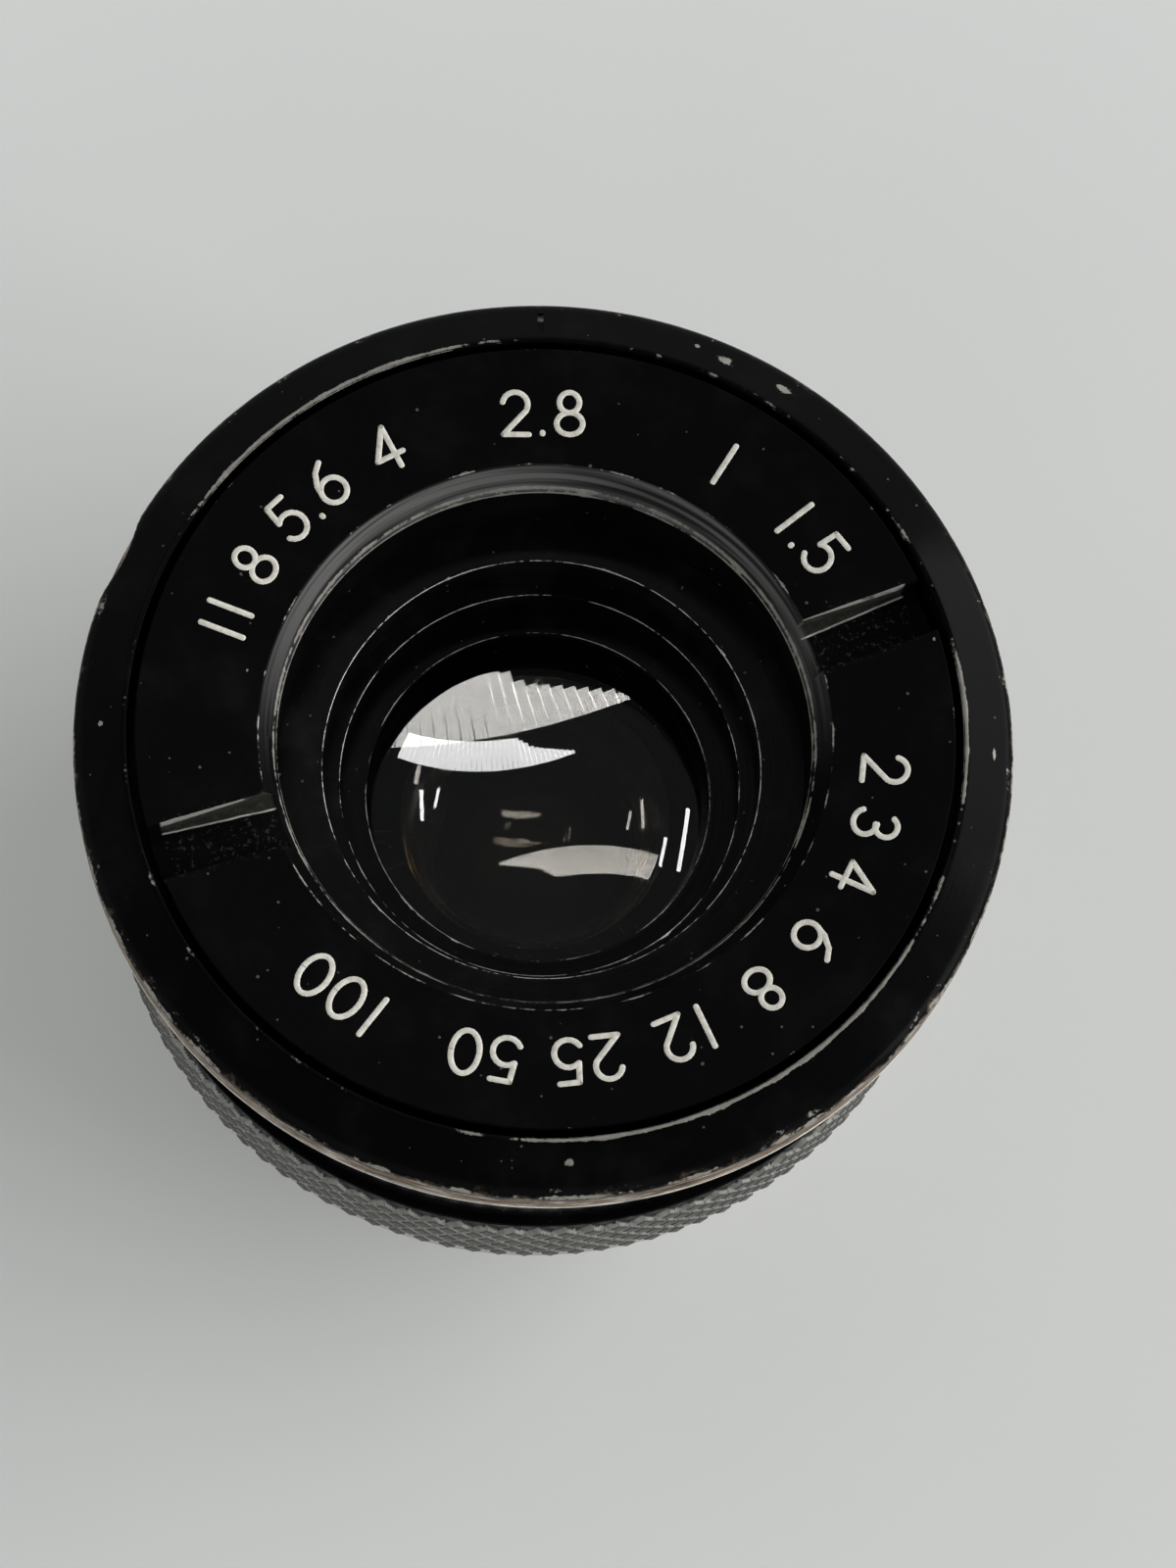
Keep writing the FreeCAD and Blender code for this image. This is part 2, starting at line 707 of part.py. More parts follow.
os.makedirs("parts", exist_ok=True)
for name, shape in nodes.items():
    shape.exportStep("parts/%s.step" % name)
    report = "%-20s solids %d valid %s volume %.3f"
    print(report % (name, len(shape.Solids), shape.isValid(), shape.Volume))
print("aperture turn %.3f, blade turn %.3f" % (aperture_turn, blade_turn))
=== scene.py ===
import bpy
import bmesh
import math
from mathutils import Matrix, Vector


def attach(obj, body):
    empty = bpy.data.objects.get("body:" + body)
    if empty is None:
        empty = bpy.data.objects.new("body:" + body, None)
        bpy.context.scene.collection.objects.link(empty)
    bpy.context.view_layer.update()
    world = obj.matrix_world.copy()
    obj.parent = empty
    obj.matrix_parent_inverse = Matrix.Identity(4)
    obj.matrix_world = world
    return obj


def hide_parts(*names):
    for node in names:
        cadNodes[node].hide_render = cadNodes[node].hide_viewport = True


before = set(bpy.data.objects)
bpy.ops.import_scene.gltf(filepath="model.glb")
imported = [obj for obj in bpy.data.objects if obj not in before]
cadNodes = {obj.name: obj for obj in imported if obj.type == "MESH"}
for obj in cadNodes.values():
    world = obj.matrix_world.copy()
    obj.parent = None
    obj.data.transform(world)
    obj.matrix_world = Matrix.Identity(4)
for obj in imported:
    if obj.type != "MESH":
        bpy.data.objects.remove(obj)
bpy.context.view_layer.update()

mm = 0.001
print("frame loaded")


# small tools for shader and geometry trees
def feed(tree, value, socket):  # a socket is linked, a plain value is set
    if isinstance(value, bpy.types.NodeSocket):
        tree.links.new(value, socket)
    else:
        socket.default_value = value


def addNode(tree, kind, inputs=None, **settings):
    made = tree.nodes.new(kind)
    for key, value in settings.items():
        setattr(made, key, value)
    for key, value in (inputs or {}).items():
        feed(tree, value, made.inputs[key])
    return made


def calc(tree, kind, *values):  # one math node
    return addNode(tree, "ShaderNodeMath", dict(enumerate(values)), operation=kind).outputs[0]


def plus(tree, first, second):
    return calc(tree, "ADD", first, second)


def minus(tree, first, second):
    return calc(tree, "SUBTRACT", first, second)


def times(tree, first, second):
    return calc(tree, "MULTIPLY", first, second)


def scaled(tree, value, factor, shift):
    return calc(tree, "MULTIPLY_ADD", value, factor, shift)


def diagonal(tree, first, second):  # root of the sum of two squares
    return calc(tree, "SQRT", plus(tree, times(tree, first, first), times(tree, second, second)))


def split(tree, vector):
    return addNode(tree, "ShaderNodeSeparateXYZ", {"Vector": vector}).outputs


def combine(tree, x, y, z):
    return addNode(tree, "ShaderNodeCombineXYZ", {"X": x, "Y": y, "Z": z}).outputs[0]


def fade(tree, value, low, high):  # 0 at low, 1 at high
    inputs = {"Value": value, "From Min": low, "From Max": high}
    return addNode(tree, "ShaderNodeMapRange", inputs, interpolation_type="SMOOTHSTEP").outputs["Result"]


def blendColour(tree, share, first, second):
    made = addNode(tree, "ShaderNodeMix", data_type="RGBA")
    for index, value in ((0, share), (6, first), (7, second)):
        feed(tree, (*value, 1.0) if isinstance(value, tuple) else value, made.inputs[index])
    return made.outputs[2]


def noiseOf(tree, vector, scale, detail=3.0, rough=0.55):
    inputs = {"Vector": vector, "Scale": scale, "Detail": detail, "Roughness": rough}
    return addNode(tree, "ShaderNodeTexNoise", inputs).outputs["Fac"]


socketKinds = {"vector": "NodeSocketVector", "geometry": "NodeSocketGeometry",
               "material": "NodeSocketMaterial"}


def newGroup(name, inputs, outputs, kind="ShaderNodeTree"):
    group = bpy.data.node_groups.new(name, kind)
    for label, value in inputs.items():
        socketKind = socketKinds.get(value, "NodeSocketInt" if isinstance(value, int) else "NodeSocketFloat")
        socket = group.interface.new_socket(label, in_out="INPUT", socket_type=socketKind)
        if not isinstance(value, str):
            socket.default_value = value
    for label, socketKind in outputs.items():
        group.interface.new_socket(label, in_out="OUTPUT", socket_type=socketKind)
    return group, group.nodes.new("NodeGroupInput").outputs, group.nodes.new("NodeGroupOutput").inputs


# effects that several finishes share
def edgeWearGroup():
    group, given, out = newGroup("edgeWear", {"Vector": "vector", "Edge": 0.0, "Amount": 0.5, "Scale": 3.0},
                                 {"Mask": "NodeSocketFloat"})
    coarse = noiseOf(group, given["Vector"], given["Scale"], 4.0)
    fine = noiseOf(group, given["Vector"], times(group, given["Scale"], 7.0), 3.0)
    level = times(group, given["Edge"], plus(group, given["Amount"], 0.35))
    level = scaled(group, minus(group, coarse, 0.5), 1.5, level)
    level = scaled(group, minus(group, fine, 0.5), 0.7, level)
    mask = times(group, fade(group, level, 0.48, 0.66), fade(group, given["Edge"], 0.03, 0.3))
    group.links.new(mask, out["Mask"])
    return group


def dustGroup():
    group, given, out = newGroup("dust", {"Vector": "vector", "Amount": 0.2, "Scale": 3.0},
                                 {"Specks": "NodeSocketFloat", "Film": "NodeSocketFloat"})
    cells = addNode(group, "ShaderNodeTexVoronoi", {"Vector": given["Vector"], "Scale": given["Scale"]})
    random = addNode(group, "ShaderNodeSeparateColor", {"Color": cells.outputs["Color"]})
    size = scaled(group, random.outputs["Green"], 0.16, 0.05)
    inside = minus(group, size, cells.outputs["Distance"])
    chosen = minus(group, random.outputs["Red"], minus(group, 1.0, given["Amount"]))
    specks = times(group, fade(group, inside, 0.0, 0.05), fade(group, chosen, 0.0, 0.02))
    cloud = noiseOf(group, given["Vector"], times(group, given["Scale"], 0.12), 6.0, 0.62)
    group.links.new(specks, out["Specks"])
    group.links.new(fade(group, cloud, 0.46, 0.78), out["Film"])
    return group


def turnedGrainGroup():
    group, given, out = newGroup("turnedGrain", {"Vector": "vector", "Scale": 8.0},
                                 {"Height": "NodeSocketFloat"})
    axes = split(group, given["Vector"])
    around = times(group, calc(group, "ARCTAN2", axes["Y"], axes["X"]), 0.25)
    place = combine(group, diagonal(group, axes["X"], axes["Y"]), axes["Z"], around)
    group.links.new(noiseOf(group, place, given["Scale"], 2.0, 0.4), out["Height"])
    return group


def spotGroup():
    group, given, out = newGroup("spot", {"Vector": "vector", "Angle": 0.0, "Radius": 14.0, "Size": 0.2,
                                          "Stretch": 1.0}, {"Mask": "NodeSocketFloat"})
    axes = split(group, given["Vector"])
    angle = calc(group, "RADIANS", given["Angle"])
    cosine = calc(group, "COSINE", angle)
    sine = calc(group, "SINE", angle)
    outward = plus(group, times(group, axes["X"], cosine), times(group, axes["Y"], sine))
    across = minus(group, times(group, axes["Y"], cosine), times(group, axes["X"], sine))
    away = diagonal(group, calc(group, "DIVIDE", minus(group, outward, given["Radius"]), given["Size"]),
                    calc(group, "DIVIDE", across, times(group, given["Size"], given["Stretch"])))
    ragged = minus(group, noiseOf(group, given["Vector"], 6.0, 4.0, 0.7), 0.5)
    group.links.new(fade(group, scaled(group, ragged, 2.2, away), 1.0, 0.75), out["Mask"])
    return group


groups = {"wear": edgeWearGroup(), "dust": dustGroup(), "grain": turnedGrainGroup(), "spot": spotGroup()}


def useGroup(tree, name, inputs):
    return addNode(tree, "ShaderNodeGroup", inputs, node_tree=groups[name]).outputs


def newMaterial(name, plain):
    material = bpy.data.materials.new(name)
    material.use_nodes = True
    tree = material.node_tree
    shader = tree.nodes["Principled BSDF"]
    for key, value in plain.items():
        shader.inputs[key].default_value = value
    coords = addNode(tree, "ShaderNodeTexCoord").outputs["Object"]
    inMm = addNode(tree, "ShaderNodeVectorMath", {0: coords, "Scale": 1 / mm}, operation="SCALE").outputs[0]
    return material, tree, shader.inputs, inMm


def edgeOf(tree, name="wear"):
    return addNode(tree, "ShaderNodeAttribute", attribute_name=name).outputs["Fac"]


def bumpOf(tree, shader, height, strength, depthMm):
    made = addNode(tree, "ShaderNodeBump", {"Height": height, "Strength": strength, "Distance": depthMm * mm})
    tree.links.new(made.outputs["Normal"], shader["Normal"])


# finishes
enamelLook = {"black": (0.002, 0.002, 0.0023), "film": (0.007, 0.007, 0.0068), "dust": (0.16, 0.16, 0.15),
              "worn": (0.14, 0.13, 0.113), "rubbed": (0.34, 0.325, 0.295), "marked": (16.8, 17.0)}


def enamel(name, marks, wear, rough, extra):
    # marks: angle, radius, size, stretch; extra adds what one piece alone has
    material, tree, shader, where = newMaterial(name, {"Specular IOR Level": 0.018})
    given = {"Vector": where, "Edge": edgeOf(tree), "Amount": wear, "Scale": 0.9}
    worn = useGroup(tree, "wear", given)["Mask"]
    dust = useGroup(tree, "dust", {"Vector": where, "Amount": 0.12, "Scale": 3.2})
    grain = useGroup(tree, "grain", {"Vector": where, "Scale": 9.0})["Height"]
    onTop = fade(tree, split(tree, where)["Z"], *enamelLook["marked"])
    for angle, radius, size, stretch in marks:
        given = {"Vector": where, "Angle": angle, "Radius": radius, "Size": size, "Stretch": stretch}
        worn = calc(tree, "MAXIMUM", worn, times(tree, useGroup(tree, "spot", given)["Mask"], onTop))
    colour = blendColour(tree, times(tree, dust["Film"], 0.6), enamelLook["black"], enamelLook["film"])
    colour = blendColour(tree, times(tree, dust["Specks"], 0.45), colour, enamelLook["dust"])
    worn, colour, rubbing = extra(tree, where, worn, colour)
    wornColour = blendColour(tree, noiseOf(tree, where, 2.5, 3.0), enamelLook["worn"], enamelLook["rubbed"])
    tree.links.new(blendColour(tree, worn, colour, wornColour), shader["Base Color"])
    tree.links.new(times(tree, worn, 0.25), shader["Metallic"])
    rubbing = calc(tree, "MAXIMUM", times(tree, worn, 0.45), rubbing)
    roughness = calc(tree, "MAXIMUM", scaled(tree, dust["Film"], 0.06, rough), rubbing)
    tree.links.new(roughness, shader["Roughness"])
    bumpOf(tree, shader, scaled(tree, dust["Specks"], 0.6, times(tree, grain, 0.4)), 0.25, 0.012)
    return material


wallLook = {"radius": (14.6, 14.75), "height": (15.5, 15.54), "band": (17.15, 16.5),
            "highlightFoot": (16.55, 16.4), "dark": (0.02, 0.014, 0.01), "brown": (0.17, 0.125, 0.09),
            "grey": (0.5, 0.47, 0.42), "footHighlight": (0.6, 0.57, 0.51)}


def rimFoot(tree, where, worn, colour):  # the wall is rubbed brown and grey, stronger towards the foot and partly a painted reflection of the table, and a light band along its foot is a painted highlight
    axes = split(tree, where)
    radius = diagonal(tree, axes["X"], axes["Y"])
    onWall = times(tree, fade(tree, radius, *wallLook["radius"]), fade(tree, axes["Z"], *wallLook["height"]))
    ragged = scaled(tree, noiseOf(tree, where, 1.1, 5.0, 0.7), 1.6, -0.8)
    # the band's brown and grey is worn metal, partly a painted reflection of the table, stronger towards the
    # foot
    band = times(tree, fade(tree, plus(tree, axes["Z"], ragged), *wallLook["band"]), onWall)
    flattened = addNode(tree, "ShaderNodeVectorMath", {0: where, 1: (1.0, 1.0, 6.0)}, operation="MULTIPLY")
    streak = noiseOf(tree, flattened.outputs[0], 0.8, 6.0, 0.7)
    rubbed = blendColour(tree, fade(tree, streak, 0.35, 0.5), wallLook["dark"], wallLook["brown"])
    rubbed = blendColour(tree, fade(tree, streak, 0.5, 0.66), rubbed, wallLook["grey"])
    colour = blendColour(tree, times(tree, band, 0.9), colour, rubbed)
    # a light band along the wall's foot: painted highlight
    foot = times(tree, fade(tree, scaled(tree, streak, 1.2, axes["Z"]), *wallLook["highlightFoot"]), onWall)
    return worn, blendColour(tree, foot, colour, wallLook["footHighlight"]), times(tree, band, 0.5)


slotLook = {"turn": 18.7, "halfWidth": 0.9, "edge": 0.035, "inner": (8.85, 9.0), "outer": (12.6, 12.5),
            "top": (17.5, 17.58), "lineSlope": 0.091, "lineShift": -1.237, "chamferR": (9.16, 9.08),
            "chamferZ": (16.4, 16.5), "grit": (0.06, 0.058, 0.05), "highlightLine": (0.6, 0.59, 0.55),
            "chamferDustAndLight": (0.12, 0.12, 0.117)}


def spannerSlot(tree, where, worn, colour):
    # two painted highlight lines along the lit side of each slot, with the strip they border painted light as
    # the lit wall and speckled with grit, grit on the slot's floor, and on the far part of the chamfer round
    # the hood a lighter grey that is dust and painted light
    s = slotLook
    turned = addNode(tree, "ShaderNodeVectorRotate", {"Vector": where, "Angle": math.radians(-s["turn"])},
                     rotation_type="Z_AXIS")
    axes = split(tree, turned.outputs[0])
    radius = diagonal(tree, axes["X"], axes["Y"])
    inRing = times(tree, fade(tree, radius, *s["inner"]), fade(tree, radius, *s["outer"]))
    wobble = scaled(tree, noiseOf(tree, where, 1.6, 4.0), 0.06, -0.03)
    side = plus(tree, minus(tree, axes["Y"], s["halfWidth"]), wobble)
    below = minus(tree, side, scaled(tree, radius, s["lineSlope"], s["lineShift"]))  # nearer the wall outside
    # the two light lines are painted highlights along the slot's lit side
    upperHighlight = fade(tree, calc(tree, "ABSOLUTE", side), s["edge"], 0.0)
    upperHighlight = times(tree, upperHighlight, fade(tree, axes["Z"], *s["top"]))
    lowerHighlight = fade(tree, calc(tree, "ABSOLUTE", below), s["edge"] + 0.01, 0.005)
    patch = fade(tree, noiseOf(tree, where, 1.1, 4.0), 0.36, 0.52)
    lines = calc(tree, "MAXIMUM", times(tree, times(tree, upperHighlight, patch), 0.45),
                 times(tree, lowerHighlight, scaled(tree, patch, 0.35, 0.6)))
    grit = fade(tree, noiseOf(tree, where, 5.5, 5.0, 0.75), 0.48, 0.66)
    # the strip that the two lines border is painted light, standing in for the lit wall, with grit
    litWallAndGrit = times(tree, fade(tree, below, -0.01, 0.01), fade(tree, side, 0.03, 0.01))
    litWallAndGrit = times(tree, times(tree, litWallAndGrit, inRing), scaled(tree, grit, 0.4, 0.4))
    inSlot = fade(tree, calc(tree, "ABSOLUTE", axes["Y"]), s["halfWidth"] + 0.25, s["halfWidth"] - 0.1)
    floor = times(tree, times(tree, inSlot, inRing), times(tree, fade(tree, grit, 0.5, 1.0), 0.7))
    colour = blendColour(tree, calc(tree, "MAXIMUM", floor, litWallAndGrit), colour, s["grit"])
    colour = blendColour(tree, times(tree, lines, inRing), colour, s["highlightLine"])
    # the far part of the chamfer is painted lighter grey: dust and painted light, stronger towards the far
    # side
    chamfer = times(tree, fade(tree, radius, *s["chamferR"]), fade(tree, axes["Z"], *s["chamferZ"]))
    chamfer = times(tree, chamfer, fade(tree, split(tree, where)["Y"], -2.0, 7.0))
    streaky = fade(tree, useGroup(tree, "grain", {"Vector": where, "Scale": 5.0})["Height"], 0.35, 0.65)
    farChamferLight = times(tree, chamfer, scaled(tree, streaky, 0.75, 0.12))
    return worn, blendColour(tree, farChamferLight, colour, s["chamferDustAndLight"]), 0.0


def hoodBlack():
    material, tree, shader, where = newMaterial("hoodBlack", {"Specular IOR Level": 0.05})
    given = {"Vector": where, "Edge": edgeOf(tree), "Amount": 0.27, "Scale": 0.7}
    worn = useGroup(tree, "wear", given)["Mask"]
    dust = useGroup(tree, "dust", {"Vector": where, "Amount": 0.16, "Scale": 4.0})
    grain = useGroup(tree, "grain", {"Vector": where, "Scale": 7.0})["Height"]
    colour = blendColour(tree, dust["Film"], (0.003, 0.003, 0.0034), (0.012, 0.012, 0.012))
    colour = blendColour(tree, times(tree, dust["Specks"], 0.5), colour, (0.18, 0.18, 0.17))
    tree.links.new(blendColour(tree, worn, colour, (0.6, 0.6, 0.58)), shader["Base Color"])
    tree.links.new(times(tree, worn, 0.5), shader["Metallic"])
    tree.links.new(scaled(tree, grain, 0.12, 0.3), shader["Roughness"])
    bumpOf(tree, shader, grain, 0.35, 0.012)
    return material


gripLook = {"dark": (0.028, 0.027, 0.026), "flat": (0.052, 0.05, 0.047), "dimHighlight": (0.17, 0.167, 0.155),
            "highlightLine": (0.3, 0.295, 0.27), "end": (0.006, 0.006, 0.006), "dust": (0.4, 0.39, 0.36)}


def gripMetal():  # dark flats, light lines on the grooves' sides as a painted reflection of the bright sky, black where a diamond is cut off
    material, tree, shader, where = newMaterial("wornGrip", {"Specular IOR Level": 0.3})
    groove = edgeOf(tree, "groove")
    dust = useGroup(tree, "dust", {"Vector": where, "Amount": 0.3, "Scale": 2.0})
    patchy = noiseOf(tree, where, 0.55, 4.0)
    flat = blendColour(tree, fade(tree, patchy, 0.35, 0.65), gripLook["dark"], gripLook["flat"])
    edge = fade(tree, noiseOf(tree, where, 3.0, 4.0), 0.35, 0.7)
    edge = blendColour(tree, edge, gripLook["dimHighlight"], gripLook["highlightLine"])
    # the grooves' sides are painted light: painted reflection of the bright sky on the facets
    highlightLine = times(tree, fade(tree, groove, 0.04, 0.3), fade(tree, groove, 1.15, 0.75))
    colour = blendColour(tree, highlightLine, flat, edge)
    colour = blendColour(tree, fade(tree, groove, 1.02, 1.3), colour, gripLook["end"])
    colour = blendColour(tree, times(tree, dust["Specks"], 0.4), colour, gripLook["dust"])
    tree.links.new(colour, shader["Base Color"])
    tree.links.new(times(tree, highlightLine, 0.2), shader["Metallic"])
    tree.links.new(scaled(tree, patchy, 0.3, 0.3), shader["Roughness"])
    bumpOf(tree, shader, noiseOf(tree, where, 14.0, 3.0), 0.2, 0.01)
    return material


def turnedMetal(name, light, dark, rough, metallic=1.0, scale=10.0):  # lathe-turned metal with faint stains
    material, tree, shader, where = newMaterial(name, {"Metallic": metallic, "Specular IOR Level": 0.4})
    grain = useGroup(tree, "grain", {"Vector": where, "Scale": scale})["Height"]
    dust = useGroup(tree, "dust", {"Vector": where, "Amount": 0.1, "Scale": 3.0})
    colour = blendColour(tree, fade(tree, grain, 0.3, 0.7), dark, light)
    colour = blendColour(tree, times(tree, dust["Film"], 0.5), colour, tuple(0.6 * c for c in dark))
    tree.links.new(colour, shader["Base Color"])
    tree.links.new(scaled(tree, dust["Film"], 0.2, rough), shader["Roughness"])
    bumpOf(tree, shader, grain, 0.3, 0.01)
    return material


fanLook = {"shift": (1.5, 0.6, -11.4), "rays": 26.0, "along": 0.35}


def lensGlass(name, tint, scratches=False):
    plain = {"Base Color": (*tint, 1.0), "Transmission Weight": 1.0, "IOR": 1.62, "Roughness": 0.0}
    material, tree, shader, where = newMaterial(name, plain)
    if scratches:  # fine rubbing marks that fan out from the left
        shifted = addNode(tree, "ShaderNodeVectorMath", {0: where, 1: fanLook["shift"]}, operation="ADD")
        axes = split(tree, shifted.outputs[0])
        around = times(tree, calc(tree, "ARCTAN2", axes["Y"], axes["X"]), fanLook["rays"])
        away = times(tree, diagonal(tree, axes["X"], axes["Y"]), fanLook["along"])
        lines = fade(tree, noiseOf(tree, combine(tree, around, away, 0.0), 1.0, 4.0, 0.7), 0.56, 0.7)
        reach = times(tree, fade(tree, axes["X"], 0.2, -1.2), fade(tree, axes["Y"], 0.8, -0.8))
        smear = fade(tree, noiseOf(tree, where, 0.8, 5.0), 0.5, 0.8)
        rough = scaled(tree, times(tree, lines, reach), 0.22, times(tree, smear, 0.05))
        tree.links.new(rough, shader["Roughness"])
    return material


def fillPaint():
    material, tree, shader, where = newMaterial("numberPaint", {"Specular IOR Level": 0.3})
    stain = noiseOf(tree, where, 4.0, 4.0, 0.65)
    colour = blendColour(tree, fade(tree, stain, 0.35, 0.75), (0.72, 0.7, 0.63), (0.5, 0.47, 0.41))
    tree.links.new(colour, shader["Base Color"])
    tree.links.new(scaled(tree, stain, 0.3, 0.45), shader["Roughness"])
    bumpOf(tree, shader, stain, 0.4, 0.02)
    return material


def tablePaper():
    material, tree, shader, where = newMaterial("paleTable", {"Specular IOR Level": 0.3})
    soft = noiseOf(tree, where, 0.05, 2.0)
    tree.links.new(blendColour(tree, soft, (0.74, 0.75, 0.74), (0.78, 0.785, 0.77)), shader["Base Color"])
    tree.links.new(scaled(tree, soft, 0.1, 0.5), shader["Roughness"])
    return material


rimMarks = [(64.8, 14.15, 0.16, 1.7), (56.0, 14.2, 0.15, 2.0), (69.0, 14.3, 0.07, 1.5),
            (179.0, 14.1, 0.08, 1.2), (-88.0, 14.0, 0.1, 1.6), (-3.0, 14.3, 0.05, 5.0)]
nameMarks = [(13.5, 12.8, 0.045, 1.3), (168.0, 9.7, 0.04, 1.4)]
finishes = {
    "rimEnamel": enamel("rimEnamel", rimMarks, 0.5, 0.14, rimFoot),
    "nameEnamel": enamel("nameEnamel", nameMarks, 0.4, 0.5, spannerSlot),
    "hood": hoodBlack(),
    "grip": gripMetal(),
    "brass": turnedMetal("turnedBrass", (0.66, 0.5, 0.26), (0.5, 0.36, 0.17), 0.3),
    "blackBrass": turnedMetal("blackenedBrass", (0.022, 0.021, 0.02), (0.008, 0.008, 0.008), 0.42, 0.0),
    "plated": turnedMetal("platedMount", (0.6, 0.59, 0.56), (0.42, 0.41, 0.38), 0.27),
    "steel": turnedMetal("screwSteel", (0.42, 0.42, 0.43), (0.28, 0.28, 0.29), 0.3),
    "blade": turnedMetal("bladeSteel", (0.045, 0.045, 0.05), (0.02, 0.02, 0.022), 0.34, 0.8, 3.0),
    "frontGlass": lensGlass("frontGlass", (0.8, 0.78, 0.745), True),
    "innerGlass": lensGlass("innerGlass", (0.52, 0.5, 0.46)),
    "paint": fillPaint(),
}
print("finishes made")


# turned pieces
def roundedOutline(corners, support=0.12):  # corners: radius, height, rounding, wear
    points = []
    for index, (r, z, rounding, wear) in enumerate(corners):
        here = Vector((r, z))
        if not rounding:
            points.append((r, z, wear))
            continue
        before = Vector(corners[index - 1][:2]) - here
        after = Vector(corners[(index + 1) % len(corners)][:2]) - here
        start = here + before.normalized() * rounding
        end = here + after.normalized() * rounding
        if before.length > 2.2 * (rounding + support):
            points.append((*(here + before.normalized() * (rounding + support)), 0.0))
        for step in range(5):
            t = step / 4
            spot = start * (1 - t) ** 2 + here * 2 * t * (1 - t) + end * t * t
            points.append((*spot, wear * (0.55 if step in (0, 4) else 1.0)))
        if after.length > 2.2 * (rounding + support):
            points.append((*(here + after.normalized() * (rounding + support)), 0.0))
    return points


creaseAngle = 32  # degrees; a sharper edge than this stays sharp
glassCrease = 4  # keeps the shading of the curved faces off the rim


def finishMesh(mesh, sharpAngle):
    work = bmesh.new()
    work.from_mesh(mesh)
    bmesh.ops.remove_doubles(work, verts=work.verts, dist=1e-7)
    bmesh.ops.dissolve_degenerate(work, edges=work.edges, dist=1e-8)
    bmesh.ops.recalc_face_normals(work, faces=work.faces)
    work.to_mesh(mesh)
    work.free()
    mesh.shade_smooth()
    mesh.set_sharp_from_angle(angle=math.radians(sharpAngle))


def turnedPiece(name, points, finish, slices=240, warp=None, sharpAngle=creaseAngle):
    # points: radius, height, wear
    count = len(points)
    places, wear = [], []
    for step in range(slices):
        angle = 2 * math.pi * step / slices
        for r, z, edge in points:
            if warp:
                r, z, edge = warp(angle, r, z, edge)
            places.append((r * math.cos(angle) * mm, r * math.sin(angle) * mm, z * mm))
            wear.append(edge)
    faces = []
    for step in range(slices):
        a, b = step * count, (step + 1) % slices * count
        for index in range(count):
            other = (index + 1) % count
            faces.append((a + index, b + index, b + other, a + other))
    mesh = bpy.data.meshes.new(name)
    mesh.from_pydata(places, [], faces)
    mesh.attributes.new("wear", "FLOAT", "POINT").data.foreach_set("value", wear)
    finishMesh(mesh, sharpAngle)
    mesh.materials.append(finish)
    piece = bpy.data.objects.new(name, mesh)
    bpy.context.scene.collection.objects.link(piece)
    return piece


def settle(piece, body, slot, *replaced):
    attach(piece, body)
    if replaced:
        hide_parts(*replaced)


def sag(curve, radius):
    return curve - math.sqrt(curve * curve - radius * radius)


def applied(piece):  # the evaluated shape as a plain mesh, with no modifier left
    bpy.context.view_layer.update()
    evaluated = piece.evaluated_get(bpy.context.evaluated_depsgraph_get())
    mesh = bpy.data.meshes.new_from_object(evaluated)
    old = piece.data
    piece.modifiers.clear()
    if piece.type == "MESH":
        piece.data = mesh
        bpy.data.meshes.remove(old)
        return piece
    made = bpy.data.objects.new(piece.name + "Mesh", mesh)
    bpy.context.scene.collection.objects.link(made)
    bpy.data.objects.remove(piece)
    return made


def cutAway(piece, tools):  # tools: frame, middle, size, whether it is round
    mesh = bpy.data.meshes.new("cutter")
    work = bmesh.new()
    for at, middle, size, isRound in tools:
        place = at @ Matrix.Translation(Vector(middle) * mm) @ Matrix.Diagonal((*(Vector(size) * mm), 1))
        if isRound:
            bmesh.ops.create_cone(work, cap_ends=True, segments=40, radius1=0.5, radius2=0.5, depth=1.0,
                                  matrix=place)
        else:
            bmesh.ops.create_cube(work, size=1.0, matrix=place)
    work.to_mesh(mesh)
    work.free()
    cutter = bpy.data.objects.new("cutter", mesh)
    bpy.context.scene.collection.objects.link(cutter)
    cut = piece.modifiers.new("cut", "BOOLEAN")
    cut.operation = "DIFFERENCE"
    cut.solver = "EXACT"
    cut.use_self = True
    cut.object = cutter
    applied(piece)
    bpy.data.objects.remove(cutter)
    piece.data.set_sharp_from_angle(angle=math.radians(creaseAngle))


# bevelled aperture ring with its neck
apertureSize = {"bore": 12.75, "groove": 13.28, "face": 13.36, "front": 18.0, "rim": 15.0, "fall": 0.72,
                "corner": 14.8, "wallFoot": 15.55, "neck": 13.9, "neckFoot": 9.2, "neckBore": 13.1,
                "stop": 14.2, "ledge": 16.27, "dentAngle": 156.0, "dentHalf": 1.85, "dentDepth": 0.3,
                "dentFoot": 16.5, "dentRun": 0.3, "dentInner": 14.2, "screwAngle": 60.0,
                "screwHeight": 12.25, "screwR": 0.55, "headR": 0.9, "headDepth": 0.45, "tickAngle": 90.0,
                "tickMiddle": (0.825, 0, 0.38), "tick": (0.95, 0.2, 1.0)}
highlightArcs = [(122, 26), (0, 14), (-60, 42)]  # middle and half width; the groove's edge is painted brighter there, as a painted highlight on top of its wear


